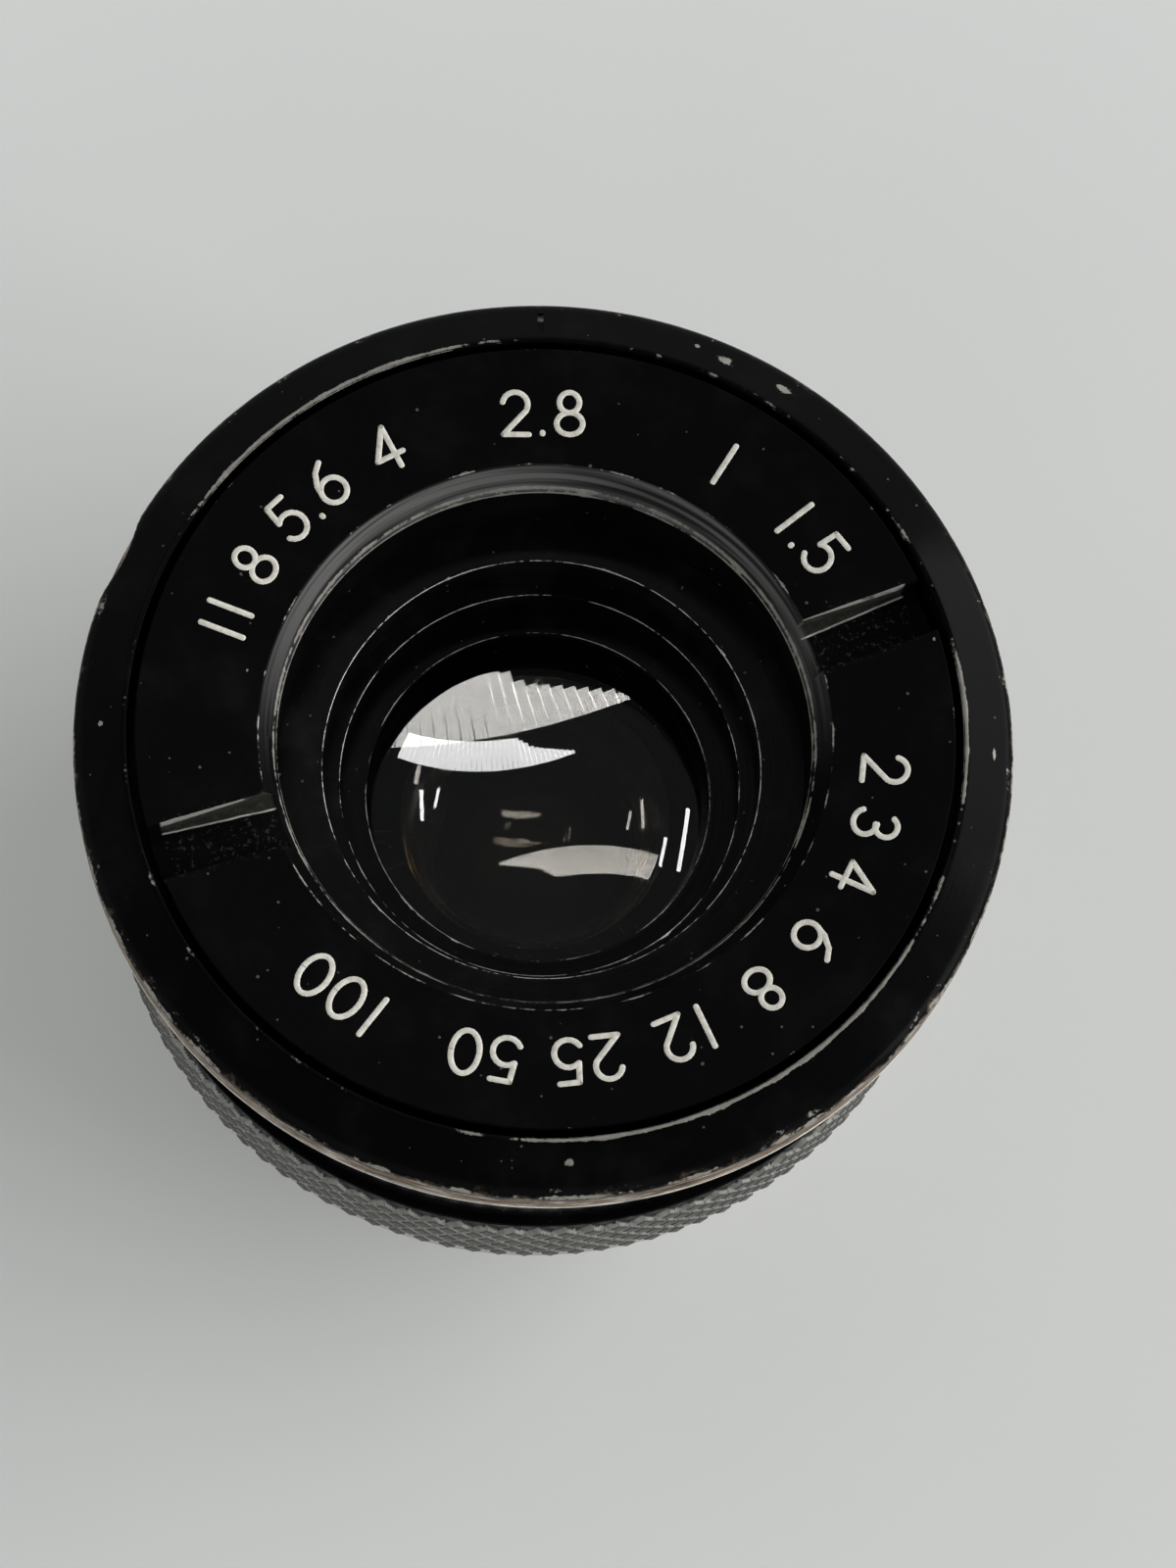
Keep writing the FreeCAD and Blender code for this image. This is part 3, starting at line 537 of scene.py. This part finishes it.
def dented(angle, r, z, edge):
    s = apertureSize
    # the groove's edge wear is raised at these angles as a painted highlight, on top of real wear
    if s["groove"] - 0.05 < r < s["face"] + 0.15 and z > s["front"] - 0.2:
        degrees = math.degrees(angle)
        near = max(1 - abs((degrees - middle + 180) % 360 - 180) / reach for middle, reach in highlightArcs)
        edge *= 0.4 + 0.75 * max(0.0, min(1.0, 2 * near))
    offset = (angle - math.radians(s["dentAngle"])) * s["rim"] / s["dentHalf"]
    if abs(offset) < 1 and z > s["dentFoot"] and r > s["dentInner"]:
        depth = s["dentDepth"] * (1 - offset * offset) ** 2 * min(1, (z - s["dentFoot"]) / s["dentRun"])
        r = min(r, s["rim"] - depth)
    return r, z, edge


def turnedAbout(degrees):
    return Matrix.Rotation(math.radians(degrees), 4, "Z")


s = apertureSize
apertureCorners = [
    (s["bore"], s["ledge"], 0, 0), (s["groove"], s["ledge"], 0, 0),
    (s["groove"], s["front"] - 0.06, 0.03, 0.8), (s["face"], s["front"], 0.08, 1),
    (s["corner"], s["front"] - s["fall"], 0.14, 0.3),
    (s["rim"], s["front"] - s["fall"] - 0.25, 0.14, 0.6), (s["rim"], s["wallFoot"] + 0.45, 0.2, 0.6),
    (s["rim"], s["wallFoot"] + 0.1, 0.08, 1), (s["rim"] - 0.1, s["wallFoot"], 0.04, 1),
    (s["neck"], s["wallFoot"], 0, 0), (s["neck"], s["neckFoot"], 0.08, 0.3),
    (s["neckBore"], s["neckFoot"], 0, 0), (s["neckBore"], s["stop"], 0, 0), (s["bore"], s["stop"], 0, 0)]
apertureRing = turnedPiece("apertureRing", roundedOutline(apertureCorners, 0.1), finishes["rimEnamel"], 300,
                           dented)
tilt = turnedAbout(s["tickAngle"]) @ Matrix.Translation((s["face"] * mm, 0, s["front"] * mm))
tilt = tilt @ Matrix.Rotation(math.atan2(s["fall"], s["corner"] - s["face"]), 4, "Y")
spoke = turnedAbout(s["screwAngle"]) @ Matrix.Translation((0, 0, s["screwHeight"] * mm))
spoke = spoke @ Matrix.Rotation(math.pi / 2, 4, "Y")
cutAway(apertureRing, [
    (tilt, s["tickMiddle"], s["tick"], False),
    (spoke, (0, 0, s["neck"]), (2 * s["screwR"], 2 * s["screwR"], 4), True),
    (spoke, (0, 0, s["neck"] - s["headDepth"] + 1), (2 * s["headR"], 2 * s["headR"], 2), True)])
settle(apertureRing, "aperture", "black_enamel", "aperture_ring")
print("aperture ring made")


# name ring with its dished face, spanner slots and numbers
nameSize = {"hood": 8.57, "faceInner": 9.13, "outer": 13.0, "front": 18.0, "dish": 0.4, "hoodEdge": 16.5,
            "foot": 16.35, "hoodFloor": 14.0, "cellBore": 9.7, "slotFloor": 17.05, "slotReach": 16.0}
s = nameSize
nameCorners = [
    (s["hood"], s["hoodFloor"], 0, 0), (s["cellBore"], s["hoodFloor"], 0, 0),
    (s["cellBore"], s["foot"], 0, 0), (s["outer"], s["foot"], 0, 0), (s["outer"], s["front"], 0.04, 0.28),
    (s["faceInner"], s["front"] - s["dish"], 0.04, 0.6), (s["hood"] + 0.1, s["hoodEdge"] + 0.2, 0.08, 0.9),
    (s["hood"], s["hoodEdge"], 0.05, 1)]
nameRing = turnedPiece("nameRing", roundedOutline(nameCorners, 0.1), finishes["nameEnamel"], 300)
cutAway(nameRing, [(turnedAbout(slotLook["turn"]), (0, 0, s["slotFloor"] + 1.0),
                    (2 * s["slotReach"], 2 * slotLook["halfWidth"], 2), False)])
settle(nameRing, "head", "black_enamel", "name_ring")
print("name ring made")


def strokeTree():  # a flattened tube with round ends along every stroke
    group, given, out = newGroup("paintedStroke", {
        "Geometry": "geometry", "Stroke Width": 0.0002, "Stroke Height": 0.00005, "Paint": "material"},
        {"Geometry": "NodeSocketGeometry"}, "GeometryNodeTree")
    half = times(group, given["Stroke Width"], 0.5)
    tall = times(group, given["Stroke Height"], 0.5)
    profile = addNode(group, "GeometryNodeCurvePrimitiveCircle", {"Resolution": 10})
    sized = addNode(group, "GeometryNodeTransform", {"Geometry": profile.outputs["Curve"],
                                                     "Scale": combine(group, half, tall, 1.0)})
    upright = addNode(group, "GeometryNodeSetCurveNormal", {"Curve": given["Geometry"]}, mode="Z_UP")
    tube = addNode(group, "GeometryNodeCurveToMesh", {
        "Curve": upright.outputs[0], "Profile Curve": sized.outputs[0], "Fill Caps": True})
    ball = addNode(group, "GeometryNodeMeshUVSphere", {"Segments": 12, "Rings": 6, "Radius": 1.0})
    ends = addNode(group, "GeometryNodeCurveEndpointSelection", {"Start Size": 1, "End Size": 1})
    dots = addNode(group, "GeometryNodeInstanceOnPoints", {
        "Points": given["Geometry"], "Selection": ends.outputs[0], "Instance": ball.outputs["Mesh"],
        "Scale": combine(group, half, half, tall)})
    joined = addNode(group, "GeometryNodeJoinGeometry")
    group.links.new(tube.outputs[0], joined.inputs[0])
    group.links.new(dots.outputs[0], joined.inputs[0])
    real = addNode(group, "GeometryNodeRealizeInstances", {"Geometry": joined.outputs[0]})
    painted = addNode(group, "GeometryNodeSetMaterial", {
        "Geometry": real.outputs[0], "Material": given["Paint"]})
    group.links.new(painted.outputs[0], out["Geometry"])
    return group


def runTree(piece, tree, values):  # sets a tree's inputs by their identifiers
    modifier = piece.modifiers.new(tree.name, "NODES")
    modifier.node_group = tree
    for item in tree.interface.items_tree:
        if item.item_type == "SOCKET" and item.in_out == "INPUT" and item.name in values:
            modifier[item.identifier] = values[item.name]


def arc(cx, cy, rx, ry, start, end, steps=14):
    return [(cx + rx * math.cos(math.radians(start + (end - start) * k / steps)),
             cy + ry * math.sin(math.radians(start + (end - start) * k / steps))) for k in range(steps + 1)]


digitStrokes = {  # width 0.62 and height 1, each stroke a run of points
    "0": [arc(0.31, 0.5, 0.31, 0.5, 0, 360, 28)],
    "1": [[(0.31, 0), (0.31, 1)]],
    "2": [arc(0.31, 0.71, 0.29, 0.29, 170, -32) + [(0.04, 0.0)], [(0.04, 0.0), (0.62, 0.0)]],
    "3": [arc(0.3, 0.75, 0.25, 0.25, 150, -90), arc(0.3, 0.27, 0.3, 0.27, 90, -155)],
    "4": [[(0.45, 0), (0.45, 1)], [(0.45, 1), (0.0, 0.3)], [(0.0, 0.3), (0.64, 0.3)]],
    "5": [[(0.55, 1), (0.12, 1)], [(0.12, 1), (0.08, 0.56)], arc(0.29, 0.32, 0.31, 0.32, 132, -150)],
    "6": [[(0.5, 1), (0.26, 0.86), (0.08, 0.6), (0.01, 0.31)] + arc(0.31, 0.3, 0.3, 0.3, 180, 540, 24)],
    "8": [arc(0.31, 0.76, 0.23, 0.24, -90, 270, 22), arc(0.31, 0.26, 0.3, 0.26, 90, 450, 24)],
    ".": [[(0.06, 0.02), (0.06, 0.05)]],
}
numberSize = {"base": 10.12, "height": 1.42, "width": 0.2, "thick": 0.05, "gap": 0.36, "lift": -0.006}
numberPlaces = [("2.8", 90), ("4", 118), ("5.6", 134.5), ("8", 149), ("11", 160), ("1", 57), ("1.5", 37),
                ("2", -7), ("3", -17), ("4", -27), ("6", -40), ("8", -52), ("12", -67), ("25", -84),
                ("50", -101), ("100", -127)]


def faceHeight(radius):  # the name ring's dished face
    s = nameSize
    return s["front"] - s["dish"] * (s["outer"] - radius) / (s["outer"] - s["faceInner"])


def writeNumbers():
    s = numberSize
    curve = bpy.data.curves.new("numberStrokes", "CURVE")
    curve.dimensions = "3D"
    for text, angle in numberPlaces:
        widths = [0.12 if c == "." else (0.3 if c == "1" else 0.62) for c in text]
        total = sum(widths) * s["height"] + s["gap"] * (len(text) - 1)
        x = -total / 2
        for letter, width in zip(text, widths):
            shift = -0.16 if letter == "1" else 0.0
            for stroke in digitStrokes[letter]:
                spline = curve.splines.new("POLY")
                spline.points.add(len(stroke) - 1)
                for point, (gx, gy) in zip(spline.points, stroke):
                    along = x + (gx + shift) * s["height"]
                    outward = s["base"] + gy * s["height"]
                    a = math.radians(angle)
                    px = outward * math.cos(a) + along * math.sin(a)
                    py = outward * math.sin(a) - along * math.cos(a)
                    height = faceHeight(math.hypot(px, py)) + s["lift"]
                    point.co = (px * mm, py * mm, height * mm, 1.0)
            x += width * s["height"] + s["gap"]
    made = bpy.data.objects.new("frontNumbers", curve)
    bpy.context.scene.collection.objects.link(made)
    return made


strokes = strokeTree()
numbers = writeNumbers()
runTree(numbers, strokes, {
    "Stroke Width": numberSize["width"] * mm, "Stroke Height": numberSize["thick"] * mm,
    "Paint": finishes["paint"]})
numbers = applied(numbers)
numbers.name = "frontNumbers"
numbers.data.shade_smooth()
settle(numbers, "head", "black_enamel")
print("numbers made")


# hood and front cell
cellSize = {"step1": 7.14, "step2": 6.58, "step3": 5.72, "floor": 14.0, "z2": 12.25, "z3": 10.9, "lip": 0.44,
            "bore": 6.3, "foot": 5.5, "outer": 7.9, "shoulder": 13.1, "flange": 9.7}
s = cellSize
cellCorners = [
    (s["step1"], s["floor"], 0.035, 1), (s["step1"], s["z2"], 0, 0), (s["step2"], s["z2"], 0.03, 1),
    (s["step2"], s["z3"], 0, 0), (s["step3"], s["z3"], 0.03, 1), (s["step3"], s["z3"] - s["lip"], 0.03, 0.3),
    (s["bore"], s["z3"] - s["lip"], 0, 0), (s["bore"], s["foot"], 0, 0), (s["outer"], s["foot"], 0.05, 0.4),
    (s["outer"], s["shoulder"], 0, 0), (s["flange"], s["shoulder"], 0, 0), (s["flange"], s["floor"], 0, 0)]
frontCell = turnedPiece("frontHood", roundedOutline(cellCorners, 0.08), finishes["hood"], 240)
settle(frontCell, "head", "hood_black", "front_cell")


# glass
glassSize = {"frontCurve": 28.0, "frontRear": 45.0, "frontR": 6.27, "frontVertex": 11.02, "frontSeat": 8.537,
             "middleFoot": 5.9, "middleFront": 25.0, "middleRear": 11.1, "middleClear": 4.2, "middleR": 4.9,
             "middleThick": 0.5}


def curveRun(curve, reach, vertex, lift, outward=True, steps=26):
    # a spherical face, from the axis out or back in
    run = [(reach * k / steps, vertex + lift * sag(curve, reach * k / steps), 0.0) for k in range(steps + 1)]
    return run if outward else run[::-1]


s = glassSize
frontBack = s["frontSeat"] + sag(s["frontRear"], s["frontR"])
frontRun = curveRun(s["frontCurve"], s["frontR"], s["frontVertex"], -1)
frontRun += curveRun(s["frontRear"], s["frontR"], frontBack, -1, False)
frontGlass = turnedPiece("frontGlass", frontRun, finishes["frontGlass"], 200, None, glassCrease)
settle(frontGlass, "head", "lens_glass", "front_element")
rearVertex = s["middleFoot"] + sag(s["middleRear"], s["middleClear"])
foreVertex = rearVertex + s["middleThick"]
rimTop = foreVertex + sag(s["middleFront"], s["middleClear"])
middleRun = curveRun(s["middleRear"], s["middleClear"], rearVertex, -1)
middleRun += [(s["middleR"], s["middleFoot"], 0), (s["middleR"], rimTop, 0)]
middleRun += curveRun(s["middleFront"], s["middleClear"], foreVertex, 1, False)
middleGlass = turnedPiece("middleGlass", middleRun, finishes["innerGlass"], 160, None, glassCrease)
settle(middleGlass, "head", "lens_glass", "middle_element")
print("glass made")


# focus ring with its diamond knurl
gripSize = {"bore": 12.65, "foot": 4.78, "knurlFoot": 4.9, "knurlTop": 8.93, "top": 9.03, "recess": 13.3,
            "ledge": 7.92, "tip": 14.4, "root": 14.18, "band": 13.96, "count": 104, "rows": 3.5, "flat": 0.6,
            "fine": 10}
s = gripSize
gripCorners = [
    (s["bore"], s["foot"], 0, 0), (s["root"] - 0.1, s["foot"], 0.05, 0.8),
    (s["root"] - 0.02, s["knurlFoot"], 0, 0.2), (s["band"], s["knurlFoot"] + 0.1, 0, 0),
    (s["band"], s["knurlTop"] - 0.1, 0, 0), (s["root"] - 0.02, s["knurlTop"], 0, 0.3),
    (s["root"] - 0.02, s["top"], 0.04, 0), (s["recess"], s["top"], 0.04, 0), (s["recess"], s["ledge"], 0, 0),
    (s["bore"], s["ledge"], 0, 0)]
gripBody = turnedPiece("focusRingBody", roundedOutline(gripCorners, 0.08), finishes["rimEnamel"], 240)
settle(gripBody, "focus", "knurled_grip", "focus_ring")


def knurlTree():  # two families of crossing grooves on a cylinder
    group, given, out = newGroup("diamondKnurl", {
        "Geometry": "geometry", "Count": 104, "Rows": 3.5, "Fineness": 10, "Tip Radius": 0.0144,
        "Depth": 0.00022, "Band Radius": 0.01396, "Foot": 0.0049, "Height": 0.00403, "Flat Share": 0.6,
        "Finish": "material"},
        {"Geometry": "NodeSocketGeometry"}, "GeometryNodeTree")
    columns = times(group, given["Count"], given["Fineness"])
    rows = times(group, given["Rows"], given["Fineness"])
    grid = addNode(group, "GeometryNodeMeshGrid", {
        "Size X": 1.0, "Size Y": 1.0, "Vertices X": plus(group, columns, 1.0),
        "Vertices Y": plus(group, rows, 3.0)})
    place = split(group, addNode(group, "GeometryNodeInputPosition").outputs[0])
    u = plus(group, place["X"], 0.5)
    step = minus(group, times(group, plus(group, place["Y"], 0.5), plus(group, rows, 2.0)), 1.0)
    inRows = calc(group, "MINIMUM", calc(group, "MAXIMUM", step, 0.0), rows)
    row = calc(group, "DIVIDE", inRows, given["Fineness"])
    turn = times(group, u, given["Count"])
    crossing = [calc(group, kind, turn, row) for kind in ("ADD", "SUBTRACT")]
    sides = []
    for run in crossing:
        phase = calc(group, "FRACT", plus(group, run, 200.5))  # the whole part only keeps it above 0
        sides.append(times(group, calc(group, "ABSOLUTE", minus(group, phase, 0.5)), 2.0))
    slope = calc(group, "MAXIMUM", *sides)
    sunk = calc(group, "DIVIDE", calc(group, "MAXIMUM", minus(group, slope, given["Flat Share"]), 0.0),
                minus(group, 1.0, given["Flat Share"]))
    ends = [calc(group, "ROUND", run) for run in crossing]
    middle = times(group, minus(group, *ends), 0.5)  # row of the diamond that this point is on
    offset = calc(group, "ABSOLUTE", minus(group, middle, times(group, given["Rows"], 0.5)))
    cutOff = calc(group, "GREATER_THAN", offset, scaled(group, given["Rows"], 0.5, -0.25))
    sunk = calc(group, "MAXIMUM", sunk, cutOff)
    radius = minus(group, given["Tip Radius"], times(group, sunk, given["Depth"]))
    outside = calc(group, "GREATER_THAN", calc(group, "ABSOLUTE", minus(group, step, inRows)), 0.5)
    radius = plus(group, times(group, radius, minus(group, 1.0, outside)),
                  times(group, given["Band Radius"], outside))
    angle = times(group, u, 2 * math.pi)
    level = scaled(group, calc(group, "DIVIDE", inRows, rows), given["Height"], given["Foot"])
    spot = combine(group, times(group, radius, calc(group, "COSINE", angle)),
                   times(group, radius, calc(group, "SINE", angle)), level)
    marked = addNode(group, "GeometryNodeStoreNamedAttribute", {
        "Geometry": grid.outputs["Mesh"], "Name": "groove", "Value": plus(group, sunk, cutOff)})
    moved = addNode(group, "GeometryNodeSetPosition", {"Geometry": marked.outputs[0], "Position": spot})
    merged = addNode(group, "GeometryNodeMergeByDistance", {"Geometry": moved.outputs[0], "Distance": 1e-7})
    real = addNode(group, "GeometryNodeRealizeInstances", {"Geometry": merged.outputs[0]})
    finished = addNode(group, "GeometryNodeSetMaterial", {
        "Geometry": real.outputs[0], "Material": given["Finish"]})
    group.links.new(finished.outputs[0], out["Geometry"])
    return group


grip = bpy.data.objects.new("diamondGrip", bpy.data.meshes.new("diamondGrip"))
bpy.context.scene.collection.objects.link(grip)
runTree(grip, knurlTree(), {
    "Count": s["count"], "Rows": s["rows"], "Fineness": s["fine"], "Tip Radius": s["tip"] * mm,
    "Depth": (s["tip"] - s["root"]) * mm, "Band Radius": s["band"] * mm, "Foot": s["knurlFoot"] * mm,
    "Height": (s["knurlTop"] - s["knurlFoot"]) * mm, "Flat Share": s["flat"], "Finish": finishes["grip"]})
applied(grip)


def faceOutwards(mesh):  # turns an open band round if its faces point at the axis
    middle = mesh.polygons[len(mesh.polygons) // 2]
    if middle.normal.x * middle.center.x + middle.normal.y * middle.center.y < 0:
        mesh.flip_normals()


faceOutwards(grip.data)
grip.data.shade_flat()
settle(grip, "focus", "knurled_grip")
print("knurled grip made")


# mount sleeve with its thread
mountSize = {"bore": 10.55, "thread": 12.7, "pitch": 25.4 / 32, "threadDepth": 0.42, "chamfer": 0.4,
             "threadTop": 2.8, "threadSteps": 32, "flank": 2.6, "fadeFrom": 0.05, "fadeRun": 0.3,
             "relief": 12.3, "seat": 4.0, "seatR": 14.15, "plate": 4.7, "journal": 12.6,
             "journalTop": 8.0, "lockStep": 11.9, "top": 8.55}


def threaded(angle, r, z, edge):
    s = mountSize
    if r < s["relief"] - 0.2 or z > s["threadTop"] + 0.35:
        return r, z, edge
    phase = (z / s["pitch"] - angle / (2 * math.pi)) % 1.0
    depth = s["threadDepth"] * (1 - min(1.0, s["flank"] * abs(phase - 0.5)))
    fadeIn = min(1.0, max(0.0, (z - s["fadeFrom"]) / s["fadeRun"]))
    return min(r, s["thread"] - depth * fadeIn), z, edge


s = mountSize
threadStep = (s["threadTop"] - s["chamfer"]) / s["threadSteps"]
threadRun = [(s["thread"], s["chamfer"] + threadStep * k, 0.3) for k in range(s["threadSteps"] + 1)]
mountPoints = [(s["bore"], 0.0, 0.2), (s["thread"] - s["chamfer"], 0.0, 0.5)] + threadRun
mountPoints += roundedOutline([
    (s["relief"], s["threadTop"] + 0.4, 0, 0), (s["relief"], s["seat"] - 0.4, 0, 0),
    (s["thread"], s["seat"], 0, 0), (s["seatR"], s["seat"], 0.06, 1), (s["seatR"], s["plate"], 0.06, 1),
    (s["journal"], s["plate"], 0, 0), (s["journal"], s["journalTop"], 0.05, 1),
    (s["lockStep"], s["journalTop"], 0, 0), (s["lockStep"], s["top"], 0.05, 1),
    (s["bore"], s["top"], 0.05, 1)], 0.08)
mountPoints.append((s["bore"], 0.3, 0.0))
mountSleeve = turnedPiece("threadedMount", mountPoints, finishes["plated"], 240, threaded)
settle(mountSleeve, "mount", "plated_mount", "mount_sleeve")
print("mount made")


# the CAD nodes that stay as they are
nodeFinishes = {
    "guide_key": "brass", "guide_screws": "steel", "stop_pin": "steel", "focus_lock_ring": "brass",
    "helicoid_nut": "brass", "main_barrel": "blackBrass", "middle_cell": "hood",
    "front_lock_ring": "blackBrass", "aperture_stop_ring": "brass", "rear_cell": "blackBrass",
    "rear_element": "innerGlass", "rear_lock_ring": "blackBrass", "drive_screw": "steel",
    "iris_drive_ring": "brass", "iris_cage": "blackBrass", "iris_cover": "blackBrass"}
nodeFinishes.update({"iris_blade_%d" % (k + 1): "blade" for k in range(6)})
for nodeName, finish in nodeFinishes.items():
    cadNodes[nodeName].data.materials.clear()
    cadNodes[nodeName].data.materials.append(finishes[finish])
print("CAD nodes finished")


# table, light and camera
tableSize = {"half": 0.6, "top": -0.00002}  # just below the lens, so that no two faces share a plane
s = tableSize
tableMesh = bpy.data.meshes.new("table")
tableCorners = [(x * s["half"], y * s["half"], s["top"]) for x, y in ((-1, -1), (1, -1), (1, 1), (-1, 1))]
tableMesh.from_pydata(tableCorners, [], [(0, 1, 2, 3)])
tableMesh.materials.append(tablePaper())
table = bpy.data.objects.new("table", tableMesh)
bpy.context.scene.collection.objects.link(table)

windowSize = {"away": 1.5, "glow": 12.0, "panes": 36, "left": -0.332, "right": 0.147, "middle": -0.09,
              "lower": 0.386, "lowerBend": 1.1, "upper": 0.488, "upperBend": 1.25, "tipFrom": -0.008,
              "tipRun": 0.045, "tipUpper": 0.468, "tipFall": 0.07, "least": 0.004}
glintGlow = 16.0
glintStrips = [  # direction, direction of the long side, length, width
    ((-0.249, 0.277, 0.928), (-0.023, -0.96, 0.28), 0.126, 0.014),
    ((-0.211, 0.295, 0.932), (-0.23, -0.942, 0.246), 0.081, 0.01),
    ((0.354, 0.157, 0.922), (-0.158, -0.961, 0.225), 0.118, 0.013),
    ((0.403, 0.191, 0.895), (-0.111, -0.96, 0.255), 0.255, 0.016)]
sideSize = {"towards": (0.94, 0.08, 0.30), "along": (0, 1, 0), "length": 2.2, "width": 0.9, "glow": 5.4,
            "away": 1.6}


def windowEdges(across):  # the bent window: its lower and upper edge, as slopes against straight up
    s = windowSize
    bend = (across - s["middle"]) ** 2
    lower = s["lower"] + s["lowerBend"] * bend
    upper = s["upper"] + s["upperBend"] * bend
    tip = min(1.0, max(0.0, (across - s["tipFrom"]) / s["tipRun"]))
    upper = upper * (1 - tip) + (s["tipUpper"] - s["tipFall"] * max(0.0, across)) * tip
    return lower, max(upper, lower + s["least"])


def standing(right, up, back, place):  # a frame from its three directions
    return Matrix.Translation(place) @ Matrix((right, up, back)).transposed().to_4x4()


def addLamp(name, towards, along, length, width, glow, away, lightsTable=False):
    light = bpy.data.lights.new(name, "AREA")
    light.shape = "RECTANGLE"
    light.size, light.size_y = length, width
    light.energy = glow * math.pi * length * width
    lamp = bpy.data.objects.new(name, light)
    back = Vector(towards).normalized()
    side = Vector(along)
    side = (side - back * side.dot(back)).normalized()
    lamp.matrix_world = standing(side, back.cross(side), back, back * away)
    lamp.visible_diffuse = lightsTable
    bpy.context.scene.collection.objects.link(lamp)


s = windowSize
paneStep = (s["right"] - s["left"]) / s["panes"]
for index in range(s["panes"]):
    across = s["left"] + paneStep * (index + 0.5)
    lower, upper = windowEdges(across)
    slope = 2 * s["lowerBend"] * (across - s["middle"])
    towards = (across, (lower + upper) / 2, 1.0)
    reach = Vector(towards).length
    stretch = math.hypot(1, slope)
    length = paneStep * stretch * s["away"] / reach
    width = (upper - lower) * s["away"] / (reach * reach * stretch)
    addLamp("windowPane%d" % index, towards, (1, slope, 0), length, width, s["glow"], s["away"])
for index, strip in enumerate(glintStrips):
    addLamp("glint%d" % index, *strip, glintGlow, s["away"])
addLamp("sideWindow", **sideSize, lightsTable=True)

skyLook = {"horizon": (0.96, 0.975, 0.97), "zenith": (0.042, 0.044, 0.045), "fade": (0.35, 0.85),
           "strength": 1.4}
world = bpy.data.worlds.new("softRoom")
world.use_nodes = True
sky = world.node_tree
direction = addNode(sky, "ShaderNodeTexCoord").outputs["Generated"]
raised = fade(sky, split(sky, direction)["Z"], *skyLook["fade"])
backdrop = sky.nodes["Background"].inputs
sky.links.new(blendColour(sky, raised, skyLook["horizon"], skyLook["zenith"]), backdrop["Color"])
backdrop["Strength"].default_value = skyLook["strength"]
bpy.context.scene.world = world

cameraSize = {"place": (-5.88, -41.87, 142.86), "right": (0.9985, -0.0166, 0.0518),
              "ahead": (0.0544, 0.3045, -0.9510), "lens": 95.625, "sensor": 36.0}
camera = bpy.data.cameras.new("photoView")
camera.lens = cameraSize["lens"]
camera.sensor_width = cameraSize["sensor"]
camera.sensor_fit = "AUTO"
camera.clip_start = 0.01
camera.clip_end = 10.0
right = Vector(cameraSize["right"]).normalized()
ahead = Vector(cameraSize["ahead"])
ahead = (ahead - right * ahead.dot(right)).normalized()
view = bpy.data.objects.new("photoView", camera)
view.matrix_world = standing(right, right.cross(ahead), -ahead, Vector(cameraSize["place"]) * mm)
bpy.context.scene.collection.objects.link(view)
bpy.context.scene.camera = view
bpy.context.scene.view_settings.view_transform = "Standard"

print("scene ready")
